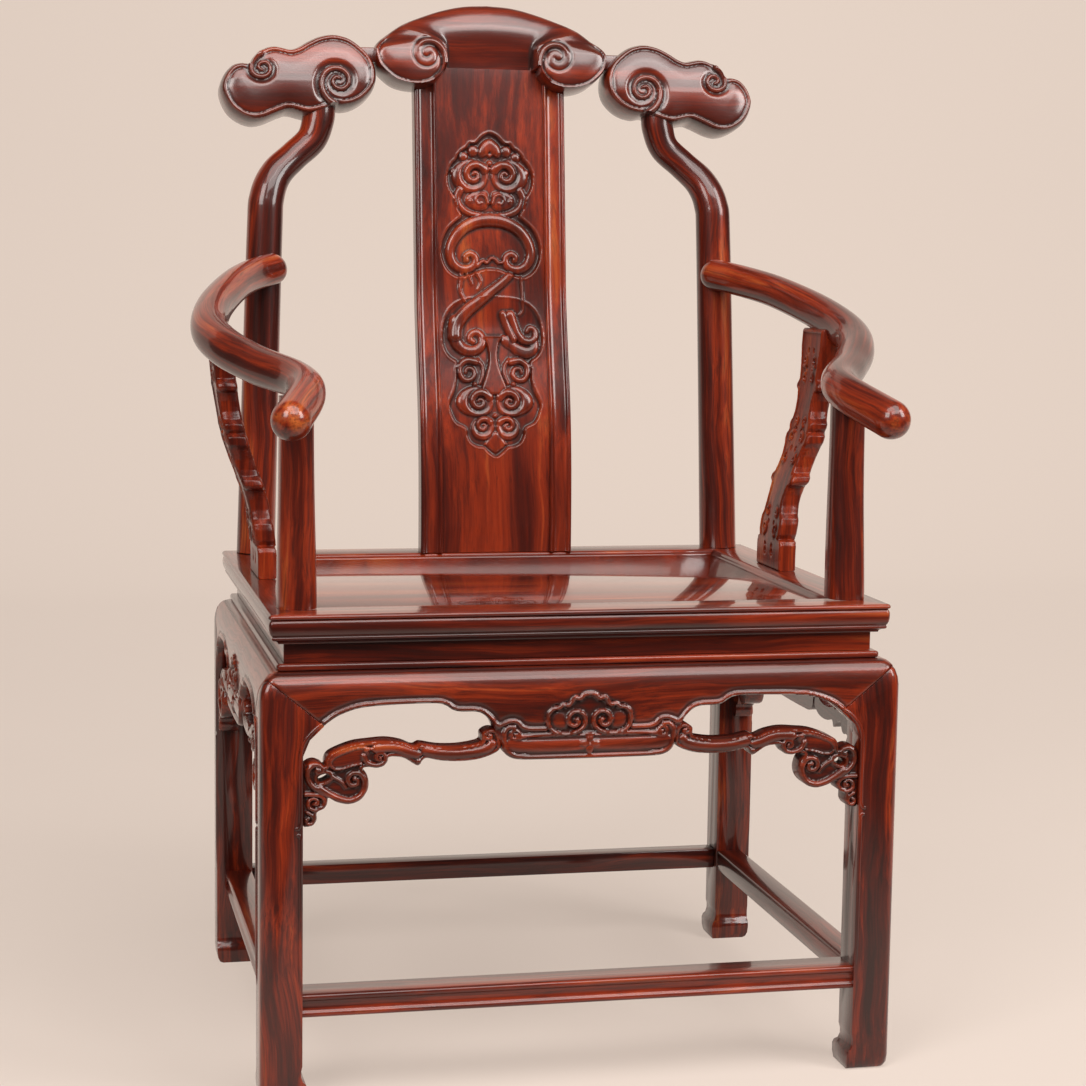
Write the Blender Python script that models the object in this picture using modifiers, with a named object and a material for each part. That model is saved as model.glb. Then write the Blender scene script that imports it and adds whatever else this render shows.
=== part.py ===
"""Rosewood armchair with a scrolled crest, S-bent arms and openwork aprons.

The sitter faces -Y, X runs across the chair and Z is up; sizes are in metres.
Every wooden piece is an object of its own, joined with tenons or let in.
"""
import math

import bmesh
import bpy
from mathutils import Matrix, Vector

# Fits and mesh fineness
fit_gap = 0.0003
cut_margin = 0.004
weld_distance = 0.00001
flat_angle = math.radians(0.05)
path_steps = 4
tube_resolution = 4

# Seat frame, panel and battens
seat_width = 0.660
seat_depth = 0.540
seat_height = 0.505
rail_width = 0.058
rail_thickness = 0.031
rail_edge_depth = 0.0045
rail_lip = 0.003
panel_recess = 0.007
panel_thickness = 0.010
panel_tongue = 0.006
panel_tongue_thickness = 0.006
batten_width = 0.030
batten_height = 0.015
batten_offset = 0.115
batten_tongue = 0.008

# Waist and the bead under it
waist_height = 0.0197
waist_inset = 0.017
waist_thickness = 0.020
bead_height = 0.0072
bead_inset = 0.009
bead_width = 0.030

# Legs with scroll feet
leg_size = 0.043
leg_proud = 0.009
leg_corner_radius = 0.008
shoulder_inset = 0.0145
shoulder_height = 0.026
foot_height = 0.040
foot_reach = 0.0050
foot_round_inset = 0.0070
foot_round_height = 0.014
leg_tenon_size = 0.011
leg_tenon_inset = 0.027
leg_tenon_root = 0.010
leg_tenon_rise = 0.012

# Aprons and their openwork spandrels
apron_thickness = 0.026
apron_drop = 0.0947
spandrel_thickness = 0.024
spandrel_setback = 0.001
spandrel_height = 0.0955
spandrel_joint_share = 0.309
spandrel_peg_length = 0.007
spandrel_peg_size = 0.007

# Stretchers
stretcher_height = 0.024
stretcher_top = 0.114
front_stretcher_width = 0.039
front_stretcher_inset = 0.003
back_stretcher_width = 0.026
back_stretcher_inset = 0.008
side_stretcher_width = 0.032
side_stretcher_inset = 0.010
stretcher_hollow = 0.002
stretcher_tenon = 0.012
stretcher_tenon_height = 0.014
stretcher_tenon_width = 0.011

# Back posts with goose necks
post_side_inset = 0.039
post_back_inset = 0.024
post_radius = 0.0230
post_rise = 0.539
post_top_offset = 0.0661
post_lean = 0.039
post_let_in = 0.015

# Crest boards, raked back
crest_thickness = 0.050
crest_rake = math.radians(8.8)
crest_before_posts = 0.023
crest_pivot_below_posts = 0.014
crest_half_width = 0.1449
crest_above_posts = 0.0254
crest_rise = 0.1028
crest_edge_round = 0.003
crest_root_length = 0.0194
crest_root_overlap = 0.020
cloud_lap = 0.0031
cloud_width = 0.1891
cloud_below_posts = 0.0221
cloud_height = 0.1085
cloud_edge_round = 0.004
crest_tenon_length = 0.034
crest_tenon_height = 0.018
crest_tenon_thickness = 0.022
crest_tenon_offset = 0.0026
crest_tenon_lift = 0.0381

# Splat
splat_half_width = 0.0938
splat_back_inset = 0.0565
splat_above_posts = 0.0229
splat_behind_crest = 0.0231
stile_width = 0.027
stile_thickness = 0.020
stile_let_in = 0.0121
splat_panel_thickness = 0.012
splat_panel_setback = 0.004
splat_panel_tongue = 0.005
splat_panel_let_in = 0.0015
splat_tenon_depth = 0.010
splat_tenon_thickness = 0.007
splat_tenon_root = 0.010
stile_tenon_width = 0.014
splat_panel_tenon_width = 0.060

# Arms, their front posts and the carved struts
arm_bow = 0.0923
arm_overhang = 0.0298
arm_rise = 0.1975
arm_drop = 0.1432
arm_radius = 0.0208
arm_heel_inset = 0.0069
arm_heel_setback = 0.0293
arm_peg_radius = 0.006
arm_peg_length = 0.024
arm_post_side_inset = 0.0345
arm_post_front_inset = 0.055
arm_post_radius = 0.0192
arm_post_let_in = 0.0185
arm_post_bend = 0.005
arm_post_tenon_radius = 0.010
arm_post_tenon_length = 0.016
strut_side_inset = 0.0275
strut_depth = 0.0448
strut_thickness = 0.0205
strut_half_breadth = 0.043
strut_top_inset = 0.0119
strut_tenon_thickness = 0.010
strut_tenon_breadth = 0.040
strut_tenon_depth = 0.010

# Outlines, written as shares of the sizes above
stretcher_edge_shares = ((0.0, 0.0), (0.0, 0.25), (1.0, 0.375), (1.0, 0.625), (0.0, 0.75), (0.0, 1.0))
plain_edge_shares = ((0.0, 0.0), (0.0, 1.0))
spandrel_leg_peg_share = 0.45
spandrel_apron_peg_share = 0.885
strut_top_share = 0.583
rail_edge_shares = ((0.0, 0.06), (0.10, 0.0), (0.0, 0.13), (0.50, 0.17), (0.30, 0.28), (0.22, 0.50),
                    (0.40, 0.72), (0.62, 0.76), (1.0, 0.80), (1.0, 1.0))
bead_edge_shares = ((0.0, 0.5), (0.12, 0.2), (0.40, 0.0))
shoulder_shares = ((0.0, 0.0), (0.06, 0.30), (0.22, 0.60), (0.52, 0.85), (1.0, 1.0))
foot_round_shares = ((1.0, 0.0), (0.45, 0.12), (0.12, 0.45), (0.0, 1.0))
foot_shares = ((0.0, 1.0), (-0.25, 0.86), (-0.25, 0.72), (0.10, 0.58), (0.70, 0.52), (1.0, 0.42),
               (1.0, 0.20), (0.75, 0.0))
arch_start_shares = ((1.014, 0.99), (0.977, 0.71), (0.928, 0.562))
arch_shares = ((0.869, 0.44), (0.812, 0.382), (0.744, 0.359), (0.643, 0.347), (0.541, 0.348),
               (0.507, 0.377), (0.484, 0.424), (0.457, 0.446), (0.406, 0.451), (0.379, 0.477),
               (0.355, 0.541), (0.342, 0.600), (0.335, 0.650), (0.309, 0.655), (0.309, 0.826),
               (0.304, 0.90), (0.284, 0.958), (0.25, 0.989), (0.169, 0.997), (0.0, 1.0))
plain_arch_shares = ((0.869, 0.44), (0.812, 0.395), (0.744, 0.378), (0.643, 0.372), (0.0, 0.372))
spandrel_shares = ((0.0, 0.817), (0.016, 0.753), (0.066, 0.702), (0.129, 0.669), (0.22, 0.657),
                   (0.31, 0.672), (0.387, 0.704), (0.405, 0.66), (0.423, 0.624), (0.45, 0.653),
                   (0.49, 0.711), (0.535, 0.732), (0.578, 0.725), (0.58, 0.68), (0.602, 0.627),
                   (0.633, 0.615), (0.673, 0.626), (0.70, 0.61), (0.682, 0.551), (0.67, 0.45),
                   (0.681, 0.351), (0.721, 0.263), (0.779, 0.236), (0.833, 0.265), (0.877, 0.328),
                   (0.877, 0.265), (0.895, 0.203), (0.934, 0.16), (0.932, 0.078), (0.947, 0.016),
                   (0.977, 0.0), (1.0, 0.02), (1.0, 0.391), (1.0, 0.626), (0.979, 0.688),
                   (0.944, 0.709), (0.909, 0.683), (0.886, 0.640), (0.888, 0.709), (0.869, 0.789),
                   (0.812, 0.84), (0.723, 0.894), (0.674, 0.898), (0.581, 0.914), (0.50, 0.888),
                   (0.435, 0.825), (0.415, 0.857), (0.401, 0.863), (0.32, 0.827), (0.221, 0.821),
                   (0.13, 0.847), (0.096, 0.877), (0.099, 0.951), (0.068, 1.0), (0.031, 1.0),
                   (0.0, 0.954))
spandrel_hole_shares = ((0.924, 0.531), (0.886, 0.564), (0.866, 0.554), (0.869, 0.527),
                        (0.899, 0.484), (0.917, 0.48))
crest_shares = ((0.0, 1.0), (0.207, 0.979), (0.406, 0.914), (0.58, 0.838), (0.755, 0.735),
                (0.921, 0.58), (0.985, 0.48), (1.0, 0.39), (0.985, 0.28), (0.949, 0.19),
                (0.847, 0.066), (0.745, 0.014), (0.63, 0.0), (0.524, 0.035), (0.449, 0.112),
                (0.405, 0.20), (0.405, 0.25))
cloud_shares = ((1.0, 0.347), (0.992, 0.44), (0.965, 0.54), (0.917, 0.625), (0.858, 0.653),
                (0.813, 0.634), (0.797, 0.69), (0.75, 0.78), (0.70, 0.832), (0.645, 0.848),
                (0.59, 0.832), (0.548, 0.819), (0.50, 0.848), (0.447, 0.905), (0.37, 0.97),
                (0.287, 1.0), (0.215, 0.986), (0.147, 0.938), (0.06, 0.812), (0.015, 0.69),
                (0.0, 0.556), (0.01, 0.44), (0.038, 0.348), (0.09, 0.26), (0.145, 0.207),
                (0.185, 0.187), (0.226, 0.179), (0.288, 0.192), (0.32, 0.15), (0.366, 0.114),
                (0.413, 0.094), (0.461, 0.088), (0.562, 0.125), (0.61, 0.105), (0.662, 0.066),
                (0.72, 0.022), (0.782, 0.0), (0.84, 0.014), (0.897, 0.061), (0.945, 0.13),
                (0.98, 0.23))
post_path_shares = ((0.0, 0.0, 0.0, 1.0), (0.07, 0.13, 0.36, 0.96), (0.145, 0.27, 0.715, 0.93),
                    (0.184, 0.35, 0.792, 0.91), (0.33, 0.54, 0.843, 0.84), (0.60, 0.75, 0.883, 0.78),
                    (0.88, 0.90, 0.922, 0.80), (0.985, 0.96, 0.966, 0.85), (1.0, 1.0, 1.0, 0.87))
splat_path_shares = ((0.0, 0.0), (0.012, 0.09), (0.063, 0.202), (0.185, 0.317), (0.40, 0.431),
                     (0.595, 0.546), (0.70, 0.665), (0.845, 0.834), (1.0, 1.0))
arm_path_shares = ((0.0, 0.0, 1.0, 0.87), (0.2937, 0.059, 0.946, 0.89),
                   (0.5873, 0.1658, 0.859, 0.91), (0.8889, 0.3164, 0.7, 0.97),
                   (1.0, 0.4517, 0.549, 1.0), (0.869, 0.5575, 0.43, 1.0),
                   (0.5635, 0.6643, 0.318, 0.96), (0.2063, 0.7813, 0.235, 0.92),
                   (0.1508, 0.8728, 0.155, 0.94), (0.4008, 1.0, 0.0, 0.97))
round_end_shares = ((0.45, 0.89), (0.80, 0.60), (0.97, 0.24))
arm_post_shares = ((0.0, 0.0, 1.0), (0.06, 0.0, 0.99), (0.25, 0.45, 0.97), (0.50, 0.85, 0.93),
                   (0.75, 0.95, 0.90), (1.0, 1.0, 0.89))
strut_path_shares = ((0.0, 0.0), (0.01, 0.107), (0.07, 0.196), (0.15, 0.285), (0.31, 0.381),
                     (0.51, 0.48), (0.67, 0.58), (0.79, 0.694), (0.88, 0.819), (0.95, 1.0))
strut_edge_shares = ((1.0, 0.0), (1.0, 0.105), (0.93, 0.125), (0.80, 0.13), (0.86, 0.17),
                     (0.84, 0.215), (0.72, 0.235), (0.66, 0.30), (0.70, 0.355), (0.88, 0.365),
                     (0.88, 0.39), (0.74, 0.405), (0.72, 0.46), (0.80, 0.51), (0.90, 0.53),
                     (0.90, 0.56), (0.78, 0.575), (0.84, 0.59), (0.84, 0.61), (0.68, 0.63),
                     (0.64, 0.68), (0.72, 0.735), (0.86, 0.745), (0.86, 0.77), (0.72, 0.79),
                     (0.76, 0.87), (0.84, 0.93), (0.84, 1.0))

# Sizes that follow from the ones above
half_width = seat_width / 2
half_depth = seat_depth / 2
rail_bottom = seat_height - rail_thickness
waist_top = rail_bottom - fit_gap
waist_bottom = waist_top - waist_height
bead_top = waist_bottom - fit_gap
bead_bottom = bead_top - bead_height
leg_top = bead_bottom - fit_gap
outer_half_width = half_width + leg_proud
outer_half_depth = half_depth + leg_proud
clear_half_width = outer_half_width - leg_size
clear_half_depth = outer_half_depth - leg_size
panel_top = seat_height - panel_recess
panel_bottom = panel_top - panel_thickness
inner_half_width = half_width - rail_width
inner_half_depth = half_depth - rail_width
stile_inner = splat_half_width - stile_width
post_base_across = half_width - post_side_inset
post_base_depth = half_depth - post_back_inset
post_top = seat_height + post_rise
post_draw_in = post_base_across - crest_half_width - post_top_offset
crest_pivot_depth = post_base_depth + post_lean - crest_before_posts
crest_pivot_height = post_top - crest_pivot_below_posts
crest_low = post_top + crest_above_posts
crest_root_half_width = stile_inner + splat_panel_tongue / 2
crest_root_low = crest_low - crest_root_length
crest_root_setback = splat_behind_crest + splat_panel_setback + fit_gap
crest_tenon_middle = crest_half_width + crest_tenon_offset
crest_tenon_level = crest_low + crest_tenon_lift
cloud_inner = crest_half_width - cloud_lap
cloud_low = post_top - cloud_below_posts
splat_base_depth = half_depth - splat_back_inset
splat_base = seat_height + fit_gap
splat_rise = post_rise + splat_above_posts
splat_top = splat_base + splat_rise
splat_top_depth = crest_pivot_depth + (splat_top - crest_pivot_height) * math.tan(crest_rake)
splat_lean = splat_top_depth + splat_behind_crest - splat_base_depth
stile_high = crest_low + stile_let_in
arm_low = seat_height + arm_rise
arm_front_depth = -half_depth - arm_overhang
arm_post_across = half_width - arm_post_side_inset
arm_post_depth = arm_post_front_inset - half_depth
arm_post_height = arm_rise + arm_post_let_in
strut_across = half_width - strut_side_inset
strut_height = arm_rise + arm_drop * strut_top_share

corners_of = {
    "front": (("front", "left"), ("front", "right")),
    "right": (("front", "right"), ("back", "right")),
    "back": (("back", "right"), ("back", "left")),
    "left": (("back", "left"), ("front", "left")),
}
parts = bpy.data.collections.new("rosewood_armchair")
cutters = bpy.data.collections.new("cutters")
wood_tones = {
    "crest": (0.24, 0.060, 0.034),
    "post": (0.22, 0.050, 0.028),
    "splat": (0.27, 0.070, 0.036),
    "arm": (0.20, 0.052, 0.032),
    "seat": (0.25, 0.065, 0.036),
    "apron": (0.21, 0.048, 0.027),
    "leg": (0.23, 0.052, 0.026),
}


def start_empty():
    """Clear the scene and link the two collections."""
    for old in list(bpy.data.objects):
        bpy.data.objects.remove(old, do_unlink=True)
    bpy.context.scene.collection.children.link(parts)
    bpy.context.scene.collection.children.link(cutters)


def wood(name, tone):
    """A polished rosewood material in one of the tones."""
    material = bpy.data.materials.new(name)
    material.use_nodes = True
    shader = material.node_tree.nodes["Principled BSDF"]
    shader.inputs["Base Color"].default_value = (*wood_tones[tone], 1)
    shader.inputs["Roughness"].default_value = 0.3
    return material


def clean(mesh):
    """Merge the seams left by a curve and turn all faces outwards."""
    work = bmesh.new()
    work.from_mesh(mesh)
    bmesh.ops.remove_doubles(work, verts=work.verts, dist=weld_distance)
    bmesh.ops.dissolve_limit(work, angle_limit=flat_angle, verts=work.verts, edges=work.edges)
    bmesh.ops.recalc_face_normals(work, faces=work.faces)
    work.to_mesh(mesh)
    work.free()
    return mesh


def mesh_of_curve(curve):
    """The closed mesh of a curve object's filled shape."""
    holder = bpy.data.objects.new(curve.name, curve)
    bpy.context.scene.collection.objects.link(holder)
    bpy.context.view_layer.update()
    graph = bpy.context.evaluated_depsgraph_get()
    mesh = bpy.data.meshes.new_from_object(holder.evaluated_get(graph), depsgraph=graph)
    bpy.data.objects.remove(holder, do_unlink=True)
    return clean(mesh)


def prism(name, loops, thickness):
    """A flat outline in the XY plane, extruded both ways along Z."""
    curve = bpy.data.curves.new(name, "CURVE")
    curve.dimensions = "2D"
    curve.fill_mode = "BOTH"
    curve.extrude = thickness / 2
    for loop in loops:
        spline = curve.splines.new("POLY")
        spline.points.add(len(loop) - 1)
        for point, (across, up) in zip(spline.points, loop):
            point.co = (across, up, 0, 1)
        spline.use_cyclic_u = True
    return mesh_of_curve(curve)


def facing_front(mesh):
    """Stand a prism up so that its outline lies in the XZ plane."""
    mesh.transform(Matrix.Rotation(math.radians(90), 4, "X"))
    return mesh


def facing_side(mesh):
    """Stand a prism up so that its outline lies in the YZ plane."""
    mesh.transform(Matrix.Rotation(math.radians(90), 4, "X"))
    mesh.transform(Matrix.Rotation(math.radians(90), 4, "Z"))
    return mesh


def box(name, size):
    """A box about the origin."""
    work = bmesh.new()
    bmesh.ops.create_cube(work, size=1)
    bmesh.ops.scale(work, vec=size, verts=work.verts)
    mesh = bpy.data.meshes.new(name)
    work.to_mesh(mesh)
    work.free()
    return mesh


def cylinder(name, radius, length):
    """An upright cylinder about the origin."""
    work = bmesh.new()
    bmesh.ops.create_cone(work, cap_ends=True, segments=16, radius1=radius, radius2=radius, depth=length)
    mesh = bpy.data.meshes.new(name)
    work.to_mesh(mesh)
    work.free()
    return mesh


def tube(name, path):
    """A round bar along a path of points that carry their radius."""
    curve = bpy.data.curves.new(name, "CURVE")
    curve.dimensions = "3D"
    curve.bevel_depth = 1
    curve.bevel_resolution = tube_resolution
    curve.use_fill_caps = True
    spline = curve.splines.new("POLY")
    spline.points.add(len(path) - 1)
    for point, place in zip(spline.points, path):
        point.co = (*place.xyz, 1)
        point.radius = place.w
    mesh = mesh_of_curve(curve)
    mesh.shade_smooth()
    return mesh


def grown(path, growth):
    """The same path with larger radii, and longer at both ends."""
    wider = [Vector((*point.xyz, point.w + growth)) for point in path]
    for end, inner in ((0, 1), (-1, -2)):
        wider[end].xyz = wider[end].xyz + (path[end].xyz - path[inner].xyz).normalized() * growth
    return wider


def round_end(path):
    """Add a ball-like end to a path."""
    along = (path[-1].xyz - path[-2].xyz).normalized()
    end = path[-1]
    return path + [Vector((*(end.xyz + along * end.w * forward), end.w * narrow))
                   for forward, narrow in round_end_shares]


def smooth_path(points, steps):
    """Points on a smooth curve through the given ones."""
    knots = [Vector(point) for point in points]
    knots = [2 * knots[0] - knots[1]] + knots + [2 * knots[-1] - knots[-2]]
    path = []
    for before, start, end, after in zip(knots, knots[1:], knots[2:], knots[3:]):
        for step in range(steps):
            share = step / steps
            bend = (2 * before - 5 * start + 4 * end - after) * share ** 2
            twist = (3 * start - before - 3 * end + after) * share ** 3
            path.append((2 * start + (end - before) * share + bend + twist) / 2)
    path.append(knots[-2])
    return path


def add_part(name, mesh, tone, place=(0, 0, 0), turn=(0, 0, 0)):
    """Add one wooden piece to the chair."""
    mesh.name = name
    piece = bpy.data.objects.new(name, mesh)
    piece.location = place
    piece.rotation_euler = turn
    mesh.materials.clear()
    mesh.materials.append(wood(name + "_wood", tone))
    parts.objects.link(piece)
    return piece


def add_cutter(name, mesh, place=(0, 0, 0), turn=(0, 0, 0)):
    """Add a helper body that shapes the pieces."""
    cutter = bpy.data.objects.new(name, mesh)
    cutter.location = place
    cutter.rotation_euler = turn
    cutter.hide_render = True
    cutter.display_type = "WIRE"
    cutters.objects.link(cutter)
    return cutter


def combine(piece, helper, operation):
    """Boolean a helper body into a piece."""
    step = piece.modifiers.new(helper.name, "BOOLEAN")
    step.object = helper
    step.operation = operation
    step.solver = "EXACT"


def add_tenon(owner, receivers, centre, size, turn=(0, 0, 0)):
    """Give the owner a square tenon and each receiver its mortise."""
    tenon = add_cutter(owner.name + "_tenon", box("tenon", size), centre, turn)
    combine(owner, tenon, "UNION")
    roomy = [length + 2 * fit_gap for length in size]
    mortise = add_cutter(owner.name + "_mortise", box("mortise", roomy), centre, turn)
    for receiver in receivers:
        combine(receiver, mortise, "DIFFERENCE")


def add_round_tenon(owner, receivers, centre, radius, length, turn=(0, 0, 0)):
    """Give the owner a round tenon and each receiver its hole."""
    tenon = add_cutter(owner.name + "_tenon", cylinder("tenon", radius, length), centre, turn)
    combine(owner, tenon, "UNION")
    hole = cylinder("hole", radius + fit_gap, length + 2 * fit_gap)
    drill = add_cutter(owner.name + "_hole", hole, centre, turn)
    for receiver in receivers:
        combine(receiver, drill, "DIFFERENCE")


def soften(piece, width, segments=1):
    """Round the sharp edges of a piece."""
    step = piece.modifiers.new("soft_edges", "BEVEL")
    step.width = width
    step.segments = segments
    step.limit_method = "ANGLE"
    step.angle_limit = math.radians(40)


def mitre(mesh, outer_half_length, outer_edge):
    """Cut both ends of a strip lying along X at 45 degrees."""
    for vertex in mesh.vertices:
        reach = outer_half_length - (outer_edge - abs(vertex.co.y)) - fit_gap / 2
        vertex.co.x = math.copysign(reach, vertex.co.x)
    return mesh


def mitred_frame(name, tone, profile, half_x, half_y):
    """Four strips with one profile, mitred into a frame."""
    strips = {}
    sides = (("front", 0, half_x, half_y), ("right", 90, half_y, half_x),
             ("back", 180, half_x, half_y), ("left", 270, half_y, half_x))
    for side, angle, half_length, edge in sides:
        outline = [(-(edge - inset), height) for inset, height in profile]
        strip = facing_side(prism(name, [outline], 1))
        strips[side] = add_part(f"{name}_{side}", mitre(strip, half_length, edge), tone,
                                turn=(0, 0, math.radians(angle)))
    return strips


def seat_frame():
    """Seat rails, floating panel and the battens under it."""
    outer = [(rail_edge_depth * inset, seat_height - rail_thickness * drop)
             for inset, drop in rail_edge_shares[1:]]
    profile = [*outer, (rail_width, rail_bottom), (rail_width, seat_height - rail_lip),
               (rail_width - rail_lip, seat_height)]
    rails = mitred_frame("seat_rail", "seat", profile, half_width, half_depth)

    size = (2 * (inner_half_width - fit_gap), 2 * (inner_half_depth - fit_gap), panel_thickness)
    place = (0, 0, panel_bottom + panel_thickness / 2)
    panel = add_part("seat_panel", box("panel", size), "seat", place)
    size = (2 * (inner_half_width + panel_tongue), 2 * (inner_half_depth + panel_tongue),
            panel_tongue_thickness)
    place = (0, 0, panel_bottom + panel_tongue_thickness / 2)
    combine(panel, add_cutter("panel_edge", box("edge", size), place), "UNION")
    roomy = [length + 2 * fit_gap for length in size]
    groove = add_cutter("panel_groove", box("groove", roomy), place)
    for rail in rails.values():
        combine(rail, groove, "DIFFERENCE")

    for side, sign in (("left", -1), ("right", 1)):
        length = 2 * (inner_half_depth + batten_tongue)
        size = (batten_width, length, batten_height)
        place = (sign * batten_offset, 0, panel_bottom - fit_gap - batten_height / 2)
        add_part(f"seat_batten_{side}", box("batten", size), "seat", place)
        slot = [part + 2 * fit_gap for part in size]
        slot_cutter = add_cutter(f"batten_slot_{side}", box("slot", slot), place)
        for end in ("front", "back"):
            combine(rails[end], slot_cutter, "DIFFERENCE")
    return rails


def waist_frames():
    """The recessed waist and the thin bead under it."""
    waist_x = half_width - waist_inset
    waist_y = half_depth - waist_inset
    profile = [(0, waist_bottom), (0, waist_top), (waist_thickness, waist_top),
               (waist_thickness, waist_bottom)]
    waists = mitred_frame("waist", "apron", profile, waist_x, waist_y)

    bead_x = half_width - bead_inset
    bead_y = half_depth - bead_inset
    edge = [(inset * bead_height, bead_top - drop * bead_height) for inset, drop in bead_edge_shares]
    low_edge = [(inset, bead_bottom + bead_top - height) for inset, height in reversed(edge)]
    profile = [*edge, (bead_width, bead_top), (bead_width, bead_bottom), *low_edge[:-1]]
    beads = mitred_frame("bead", "apron", profile, bead_x, bead_y)
    return waists, beads


def envelope_insets():
    """Insets from the outer faces of the legs, with their heights, going up."""
    low = [(foot_round_inset * inset, foot_round_height * rise) for inset, rise in foot_round_shares]
    high = [(shoulder_inset * inset, leg_top - shoulder_height * (1 - rise))
            for inset, rise in shoulder_shares]
    return low + high


def cut_levels(work, rings):
    """Cut a body level at the height of every ring."""
    for inset, height in rings:
        everything = work.verts[:] + work.edges[:] + work.faces[:]
        bmesh.ops.bisect_plane(work, geom=everything, dist=weld_distance, plane_co=(0, 0, height),
                               plane_no=(0, 0, 1))


def inset_at(rings, height):
    """The inset of the ring nearest to a height."""
    return min(rings, key=lambda ring: abs(ring[1] - height))[0]


def envelope():
    """The body that rounds the legs and aprons from outside."""
    work = bmesh.new()
    bmesh.ops.create_cube(work, size=1)
    size = (2 * outer_half_width, 2 * outer_half_depth, leg_top + cut_margin)
    bmesh.ops.scale(work, vec=size, verts=work.verts)
    bmesh.ops.translate(work, vec=(0, 0, (leg_top - cut_margin) / 2), verts=work.verts)
    upright = [edge for edge in work.edges if edge.verts[0].co.xy == edge.verts[1].co.xy]
    bmesh.ops.bevel(work, geom=upright, offset=leg_corner_radius, segments=3, profile=0.5,
                    affect="EDGES")
    rings = envelope_insets()
    cut_levels(work, rings)
    for vertex in work.verts:
        inset = inset_at(rings, vertex.co.z)
        vertex.co.x -= math.copysign(inset, vertex.co.x)
        vertex.co.y -= math.copysign(inset, vertex.co.y)
    mesh = bpy.data.meshes.new("envelope")
    work.to_mesh(mesh)
    work.free()
    return add_cutter("envelope", mesh)


def leg_mesh(sign_x, sign_y):
    """A square leg whose two inner faces run out into the scroll foot."""
    work = bmesh.new()
    bmesh.ops.create_cube(work, size=1)
    width = leg_size + cut_margin
    high = leg_top + cut_margin
    bmesh.ops.scale(work, vec=(width, width, high), verts=work.verts)
    bmesh.ops.translate(work, vec=(0, 0, high / 2), verts=work.verts)
    rings = [(foot_reach * reach, foot_height * height) for reach, height in foot_shares]
    cut_levels(work, rings[:-1])
    for vertex in work.verts:
        reach = inset_at(rings, vertex.co.z)
        if vertex.co.x * sign_x < 0:
            vertex.co.x -= sign_x * reach
        if vertex.co.y * sign_y < 0:
            vertex.co.y -= sign_y * reach
    middle_x = sign_x * (outer_half_width - leg_size + width / 2)
    middle_y = sign_y * (outer_half_depth - leg_size + width / 2)
    bmesh.ops.translate(work, vec=(middle_x, middle_y, 0), verts=work.verts)
    mesh = bpy.data.meshes.new("leg")
    work.to_mesh(mesh)
    work.free()
    return mesh


def mitre_slope(clear_half):
    """Rise over run of the mitre between leg head and apron."""
    across, drop = arch_start_shares[-1]
    return apron_drop * drop / (leg_size + clear_half * (1 - across))


def mitre_height(clear_half, reach):
    """Height of that mitre at a distance from the middle of the apron."""
    return leg_top - (clear_half + leg_size - reach) * mitre_slope(clear_half)


def leg(name, sign_x, sign_y, body):
    """A square leg with its scroll foot and the starts of both arches."""
    piece = add_part(name, leg_mesh(sign_x, sign_y), "leg")
    margin = cut_margin / 2
    thickness = apron_thickness + margin
    outline = [(sign_x * along, height) for along, height in arch_start(clear_half_width)]
    mesh = facing_front(prism("arch_start", [outline], thickness))
    place = (0, sign_y * (outer_half_depth + margin - thickness / 2), 0)
    combine(piece, add_cutter(name + "_arch_front", mesh, place), "UNION")
    outline = [(sign_y * along, height) for along, height in arch_start(clear_half_depth)]
    mesh = facing_side(prism("arch_start", [outline], thickness))
    place = (sign_x * (outer_half_width + margin - thickness / 2), 0, 0)
    combine(piece, add_cutter(name + "_arch_side", mesh, place), "UNION")
    combine(piece, body, "INTERSECT")
    return piece


def arch_start(clear_half):
    """The small flare on a leg from which the arch of the apron springs."""
    arch = [(clear_half * across, leg_top - apron_drop * drop) for across, drop in arch_start_shares]
    inside = arch[0][0]
    return [*arch, (inside, mitre_height(clear_half, inside))]


def wing_outline(clear_half, growth):
    """The triangle of an apron that is mitred over the head of a leg."""
    across, drop = arch_start_shares[-1]
    tip = clear_half * across
    high = leg_top + cut_margin
    corner = tip + (high - leg_top + apron_drop * drop) / mitre_slope(clear_half)
    return [(corner + growth, high), (tip + growth, leg_top - apron_drop * drop),
            (tip - cut_margin, leg_top - apron_drop * drop), (tip - cut_margin, high)]


def apron_mesh(clear_half, edge, lower):
    """An apron along X whose outer face lies at -edge."""
    right = wing_outline(clear_half, -fit_gap)[:2]
    right += [(clear_half * across, leg_top - apron_drop * drop) for across, drop in lower]
    tail = right[:-1] if lower[-1][0] == 0 else right
    mesh = facing_front(prism("apron", [right + [(-along, height) for along, height in reversed(tail)]],
                              apron_thickness + cut_margin))
    mesh.transform(Matrix.Translation((0, (apron_thickness - cut_margin) / 2 - edge, 0)))
    return mesh


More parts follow.
